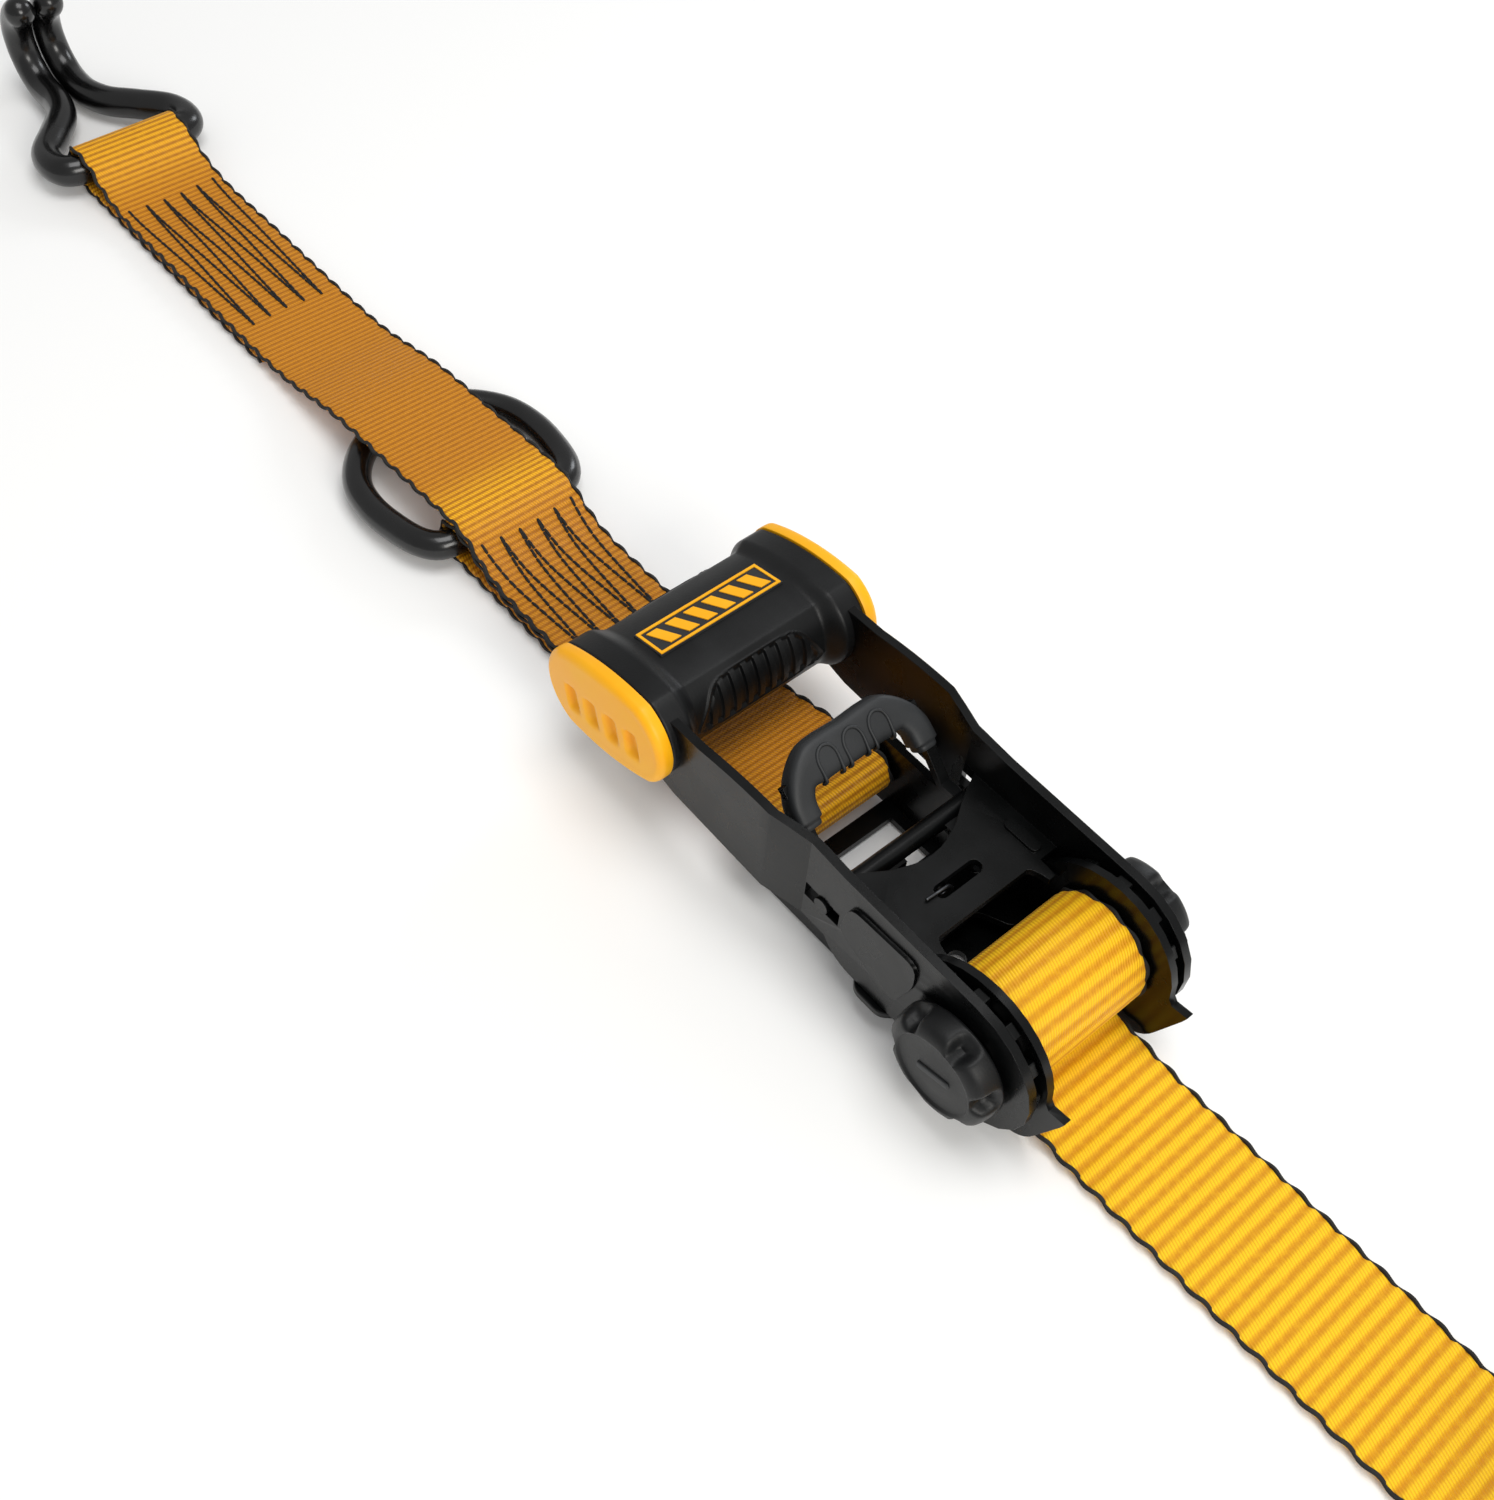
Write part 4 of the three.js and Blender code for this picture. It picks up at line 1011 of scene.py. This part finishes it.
@dataclass
class FingerPull:
    """The rubber finger loop moulded over the drive pawl's two arms."""

    root: tuple = (-20.5 * MM, 34.5 * MM)
    slope: float = 43.7
    half: float = 19.5 * MM
    length: float = 14.2 * MM

    def place(self, local: np.ndarray) -> np.ndarray:
        """Turns (out, y, lift) rows into the frame: out runs up the slope away from the axle."""
        cos, sin = np.cos(np.radians(self.slope)), np.sin(np.radians(self.slope))
        x = self.root[0] - local[:, 0] * cos + local[:, 2] * sin
        z = self.root[1] + local[:, 0] * sin + local[:, 2] * cos
        return np.stack([x, local[:, 1], z], 1)

    def make(self, colours: Palette) -> None:
        """Makes the C-shaped loop and three raised U marks.

        A rounded box runs along the loop's middle line. Its half width eases from 3.7 mm on the legs to
        5.7 mm on the front bar, and drops by 0.8 mm in a step at each foot.

        Args:
            colours: the finishes.
        """
        h, l = self.half, self.length
        corner = [[0.2 * MM, h, 0], [4 * MM, h, 0], [l - 6.5 * MM, h - 0.4 * MM, 0],
                  [l - 2.2 * MM, h - 3 * MM, 0], [l, h - 8.5 * MM, 0]]
        other = [[a, -b, c] for a, b, c in corner[::-1]]
        local = smooth_path(corner + [[l, 0, 0]] + other, 0.5 * MM)
        bar = np.clip((h - 1.5 * MM - np.abs(local[:, 1])) / (7 * MM), 0, 1)
        foot = (local[:, 0] < 2.6 * MM) * 0.8
        wide = 3.7 + 2.0 * bar * bar * (3 - 2 * bar) - foot
        size = np.stack([3.4 - 0.5 * foot, wide], 1)[:, None, :] * MM
        section = box_section(2, 2, 4.0, 40)[None] * size
        path = self.place(local)
        normal = self.place(np.array([[0, 0, 1.0]]))[0] - self.place(np.zeros((1, 3)))[0]
        loop = rod("finger_loop", path, section, tuple(normal), colours.rubber, taper=0.8 * MM)
        placed(loop, "drive_pawl", "moulded_black_plastic", "finger_pull")
        leg = np.array([[-6.2, -2.9, 0.6], [-5.4, -2.9, 3.0], [-3.5, -2.9, 3.4], [0.4, -2.9, 3.4],
                        [2.4, -1.9, 3.4]])
        shape = np.vstack([leg, [[3.2, 0, 3.35]], leg[::-1] * [1, -1, 1]]) * MM
        for index, y in enumerate(np.array([-8.5, 0, 8.5]) * MM):
            line = self.place(smooth_path(shape + [l, y, 0], 0.4 * MM))
            ridge = rod(f"finger_mark_{index}", line, ring_section(0.5 * MM, 8), (0.3, 0.4, 0.86),
                        colours.rubber, taper=0.8 * MM)
            placed(ridge, "drive_pawl", "moulded_black_plastic")
        log.info("finger loop with three marks")


@dataclass
class DoubleJHook:
    """One bent wire with a crossbar in the webbing's loop and two side-by-side J ends.

    The fields pair, half the gap between the J ends' middles, and bend, their radius, are millimetres.
    """

    name: str
    node: str
    body: str
    bar: tuple
    rest: float
    direction: int
    wire: float = 5.2 * MM
    pair: float = 5.4
    bend: float = 15

    def make(self, colours: Palette) -> None:
        """Makes the wire: crossbar, two legs that close together, then two arcs of 171 degrees.

        Args:
            colours: the finishes.
        """
        low = self.rest / MM + self.wire / MM + 0.1
        bar, pair, bend = self.bar[1] / MM, self.pair, self.bend
        side = [[0, 0, bar], [0, 10, bar], [0, 19.9, bar], [2, 23.8, bar], [7, 25.4, bar - 0.3],
                [14.5, 24, bar - 0.8], [24, 16, (bar + low) / 2], [33, 9, low + 0.3],
                [41, pair + 0.6, low], [46, pair, low]]
        angle = np.radians(-90 + 19 * np.arange(1, 10))
        tip = np.stack([48.5 + bend * np.cos(angle), np.full(9, pair), low + bend * (1 + np.sin(angle))], 1)
        half = np.vstack([side, tip]) * MM
        other = half[:0:-1] * [1, -1, 1]
        local = smooth_path(np.vstack([other, half]).tolist(), 0.8 * MM)
        path = np.stack([self.bar[0] + self.direction * local[:, 0], local[:, 1], local[:, 2]], 1)
        tilt = (0.35 * self.direction, 0.85, 0.35)
        wire = rod(self.name, path, ring_section(self.wire, 24), tilt, colours.vinyl, taper=self.wire)
        placed(wire, self.body, "vinyl_dipped_steel", self.node)
        log.info("%s: %.0f mm of wire", self.name, 1000 * run_length(path))


@dataclass
class DRing:
    """The dipped D-ring in the sewn end."""

    bar: tuple
    tail: float = -229 * MM
    wire: float = 4.4 * MM

    def make(self, colours: Palette) -> None:
        """Makes the ring: a straight bar, round corners and a long arc, sloping down to the floor.

        Args:
            colours: the finishes.
        """
        half = [[-174, 0], [-174, 10], [-174, 19.9], [-175.6, 23.6], [-180, 26.6], [-189, 28.8], [-200, 29.6],
                [-211, 27.4], [-220.5, 20.6], [-227, 10.4], [-229, 0], [-227, -10.4]]
        line = smooth_path(half, 1.2) * MM
        line = line[line[:, 1] > 0.4 * MM]
        line = np.vstack([line, line[::-1] * [1, -1]])
        drop = self.bar[1] - self.wire - 0.1 * MM
        z = self.bar[1] - drop * (self.bar[0] - line[:, 0]) / (self.bar[0] - self.tail)
        path = np.stack([line[:, 0], line[:, 1], z], 1)
        made = rod("ring_wire", path, ring_section(self.wire, 24), (0.04, 0, 1), colours.vinyl, loop=True)
        placed(made, "d_ring", "vinyl_dipped_steel", "d_ring")
        log.info("D-ring: %.0f mm of wire", 1000 * run_length(path))


@dataclass
class Metalwork:
    """The stamped and turned steel of the ratchet, kept as CAD solids with rounded edges."""

    enamelled: tuple = (
        ("base_frame", "root"), ("handle_frame", "handle"), ("drive_pawl", "drive_pawl"),
        ("lock_pawl", "lock_pawl"), ("gear_left", "mandrel"), ("gear_right", "mandrel"),
        ("mandrel_upper", "mandrel"), ("mandrel_lower", "mandrel"))
    fasteners: tuple = ("fixed_bolt", "fixed_bolt_nut", "bolt_sleeve", "grip_rod",
                        "axle_washer_left", "axle_washer_right", "knob_screw_left", "knob_screw_right")

    def make(self, colours: Palette) -> None:
        """Rounds the edges of the enamelled solids and finishes the small parts and the hank's tie.

        Args:
            colours: the finishes.
        """
        for node, body in self.enamelled:
            placed(crisp_copy(node, colours.enamel), body, "black_enamel_steel")
        for node in self.fasteners:
            dress(node, colours.enamel)
        dress("hank_tie", colours.thread)


@dataclass
class CoilSpring:
    """A wire spring along X.

    The fields start, length, radius and tail are millimetres, and keep is not used.
    """

    node: str
    body: str
    joint: str
    start: tuple
    length: float
    radius: float
    turns: int
    keep: float
    tail: tuple = ()
    wire: float = 0.45 * MM

    def make(self, colours: Palette) -> None:
        """Makes the wire: x = x0 + L t, y = y0 + r cos(2 pi n t), z = z0 + r sin(2 pi n t), then its tail.

        Args:
            colours: the finishes.
        """
        t = np.linspace(0, 1, 16 * self.turns + 1)
        angle = 2 * np.pi * self.turns * t
        coil = np.stack([self.start[0] + self.length * t, self.start[1] + self.radius * np.cos(angle),
                         self.start[2] + self.radius * np.sin(angle)], 1)
        if self.tail:
            coil = np.vstack([coil, self.tail])
        path = smooth_path((coil * MM).tolist(), 0.3 * MM)
        made = rod(f"{self.node}_wire", path, ring_section(self.wire, 8), (1, 0.02, 0.03), colours.zinc,
                   taper=self.wire)
        placed(made, self.body, "zinc_plated_steel", self.node)
        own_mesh(made)


# ---- studio ----


@dataclass
class Studio:
    """Pale floor, soft lights and the camera."""

    eye: tuple = (0.13709, -0.20496, 0.38757)
    azimuth: float = 44.47
    elevation: float = 53.12
    roll: float = 5.85
    lens: float = 42.31
    floor_level: float = -1 * MM
    floor_reach: float = 12.0

    def make(self) -> None:
        """Makes the floor, the lights, the white surroundings and the camera."""
        # The default view transform greys a saturated yellow.
        bpy.context.scene.view_settings.view_transform = "Standard"
        self.make_floor()
        self.make_light("overhead", (0.05, 0.1, 1.4), (0, 0, 0), 0.8, 9, "FFFFFF")
        self.make_light("side", (1.15, -0.2, 0.8), (0.1, 0, 0.02), 0.6, 9, "FFFDF8")
        self.make_light("rim", (-0.35, 1.1, 0.55), (0, 0, 0.02), 0.35, 2.5, "F6FAFF")
        world = bpy.data.worlds.new("studio")
        bpy.context.scene.world = world
        world.use_nodes = True
        backdrop = world.node_tree.nodes["Background"]
        backdrop.inputs["Color"].default_value = linear("FFFFFF")
        backdrop.inputs["Strength"].default_value = 0.45
        self.make_camera()

    def make_floor(self) -> None:
        """Makes the plain pale floor, which glows a little, as a lit table does."""
        corners = np.array([[-1, -1], [1, -1], [1, 1], [-1, 1]]) * self.floor_reach
        verts = np.column_stack([corners, np.full(4, self.floor_level)])
        mesh = bpy.data.meshes.new("floor")
        mesh.from_pydata(verts.tolist(), [], [[0, 1, 2, 3]])
        material, _, shader = new_material("pale_matte_floor")
        shader.inputs["Base Color"].default_value = linear("F6F6F5")
        shader.inputs["Roughness"].default_value = 0.9
        shader.inputs["Emission Color"].default_value = linear("FFFFFF")
        shader.inputs["Emission Strength"].default_value = 0.05
        mesh.materials.append(material)
        floor = bpy.data.objects.new("floor", mesh)
        bpy.context.collection.objects.link(floor)

    def make_light(self, name: str, place: tuple, target: tuple, size: float, power: float,
                   tint: str) -> None:
        """Makes a square area light.

        Args:
            name: light name.
            place: its middle, metres.
            target: the point that it faces.
            size: side of the square.
            power: watts.
            tint: sRGB hex colour.
        """
        lamp = bpy.data.lights.new(name, "AREA")
        lamp.size = size
        lamp.energy = power
        lamp.color = linear(tint)[:3]
        made = bpy.data.objects.new(name, lamp)
        bpy.context.collection.objects.link(made)
        away = np.subtract(place, target)
        away = away / np.linalg.norm(away)
        right = np.cross((0, 0, 1), away)
        right /= np.linalg.norm(right)
        up = np.cross(away, right)
        made.matrix_world = oriented(right, up, away, place)

    def make_camera(self) -> None:
        """Makes the camera from its eye point and angles."""
        a, e, t = (np.radians(v) for v in (self.azimuth, self.elevation, self.roll))
        back = np.array([np.sin(a) * np.cos(e), -np.cos(a) * np.cos(e), np.sin(e)])
        right = np.array([np.cos(a), np.sin(a), 0])
        up = np.cross(back, right)
        right, up = np.cos(t) * right + np.sin(t) * up, np.cos(t) * up - np.sin(t) * right
        lens = bpy.data.cameras.new("camera")
        lens.sensor_fit = "VERTICAL"
        lens.sensor_height = 36
        lens.lens = self.lens
        lens.clip_start = 0.01
        camera = bpy.data.objects.new("camera", lens)
        bpy.context.collection.objects.link(camera)
        camera.matrix_world = oriented(right, up, back, self.eye)
        bpy.context.scene.camera = camera


def main() -> None:
    """Builds every piece in order."""
    logging.basicConfig(level=logging.INFO, format="%(message)s")
    Studio().make()
    colours = Palette.mixed()
    sewn_end, main_strap = FixedEnd(), MainStrap()
    sewn_end.make(colours)
    main_strap.make(colours)
    Metalwork().make(colours)
    Grip().make(colours)
    FingerPull().make(colours)
    for side in Side:
        Knob(side).make(colours)
    DoubleJHook("fixed_wire_hook", "hook_fixed", "fixed_hook", bar=sewn_end.hook_bar, rest=0.0,
                direction=-1).make(colours)
    DoubleJHook("free_wire_hook", "hook_free", "free_hook", bar=main_strap.free_bar, rest=35 * MM,
                direction=1).make(colours)
    DRing(sewn_end.ring_bar).make(colours)
    CoilSpring("lock_spring", "root", "lock_pawl_slide", start=(-7, 0, 8.15), length=4.2, radius=3,
               turns=3, keep=0.07).make(colours)
    tail = ((10.6, -0.5, 27.9), (11.3, -2.2, 29.5), (11.3, -2.8, 32), (11.4, -4.6, 33.3), (11.2, -8, 33.3),
            (11, -11, 33.3))
    CoilSpring("drive_spring", "handle", "drive_pawl_slide", start=(3.4, -2, 26.9), length=6.2,
               radius=2.1, turns=4, keep=0.55, tail=tail).make(colours)


if __name__ == "__main__":
    main()
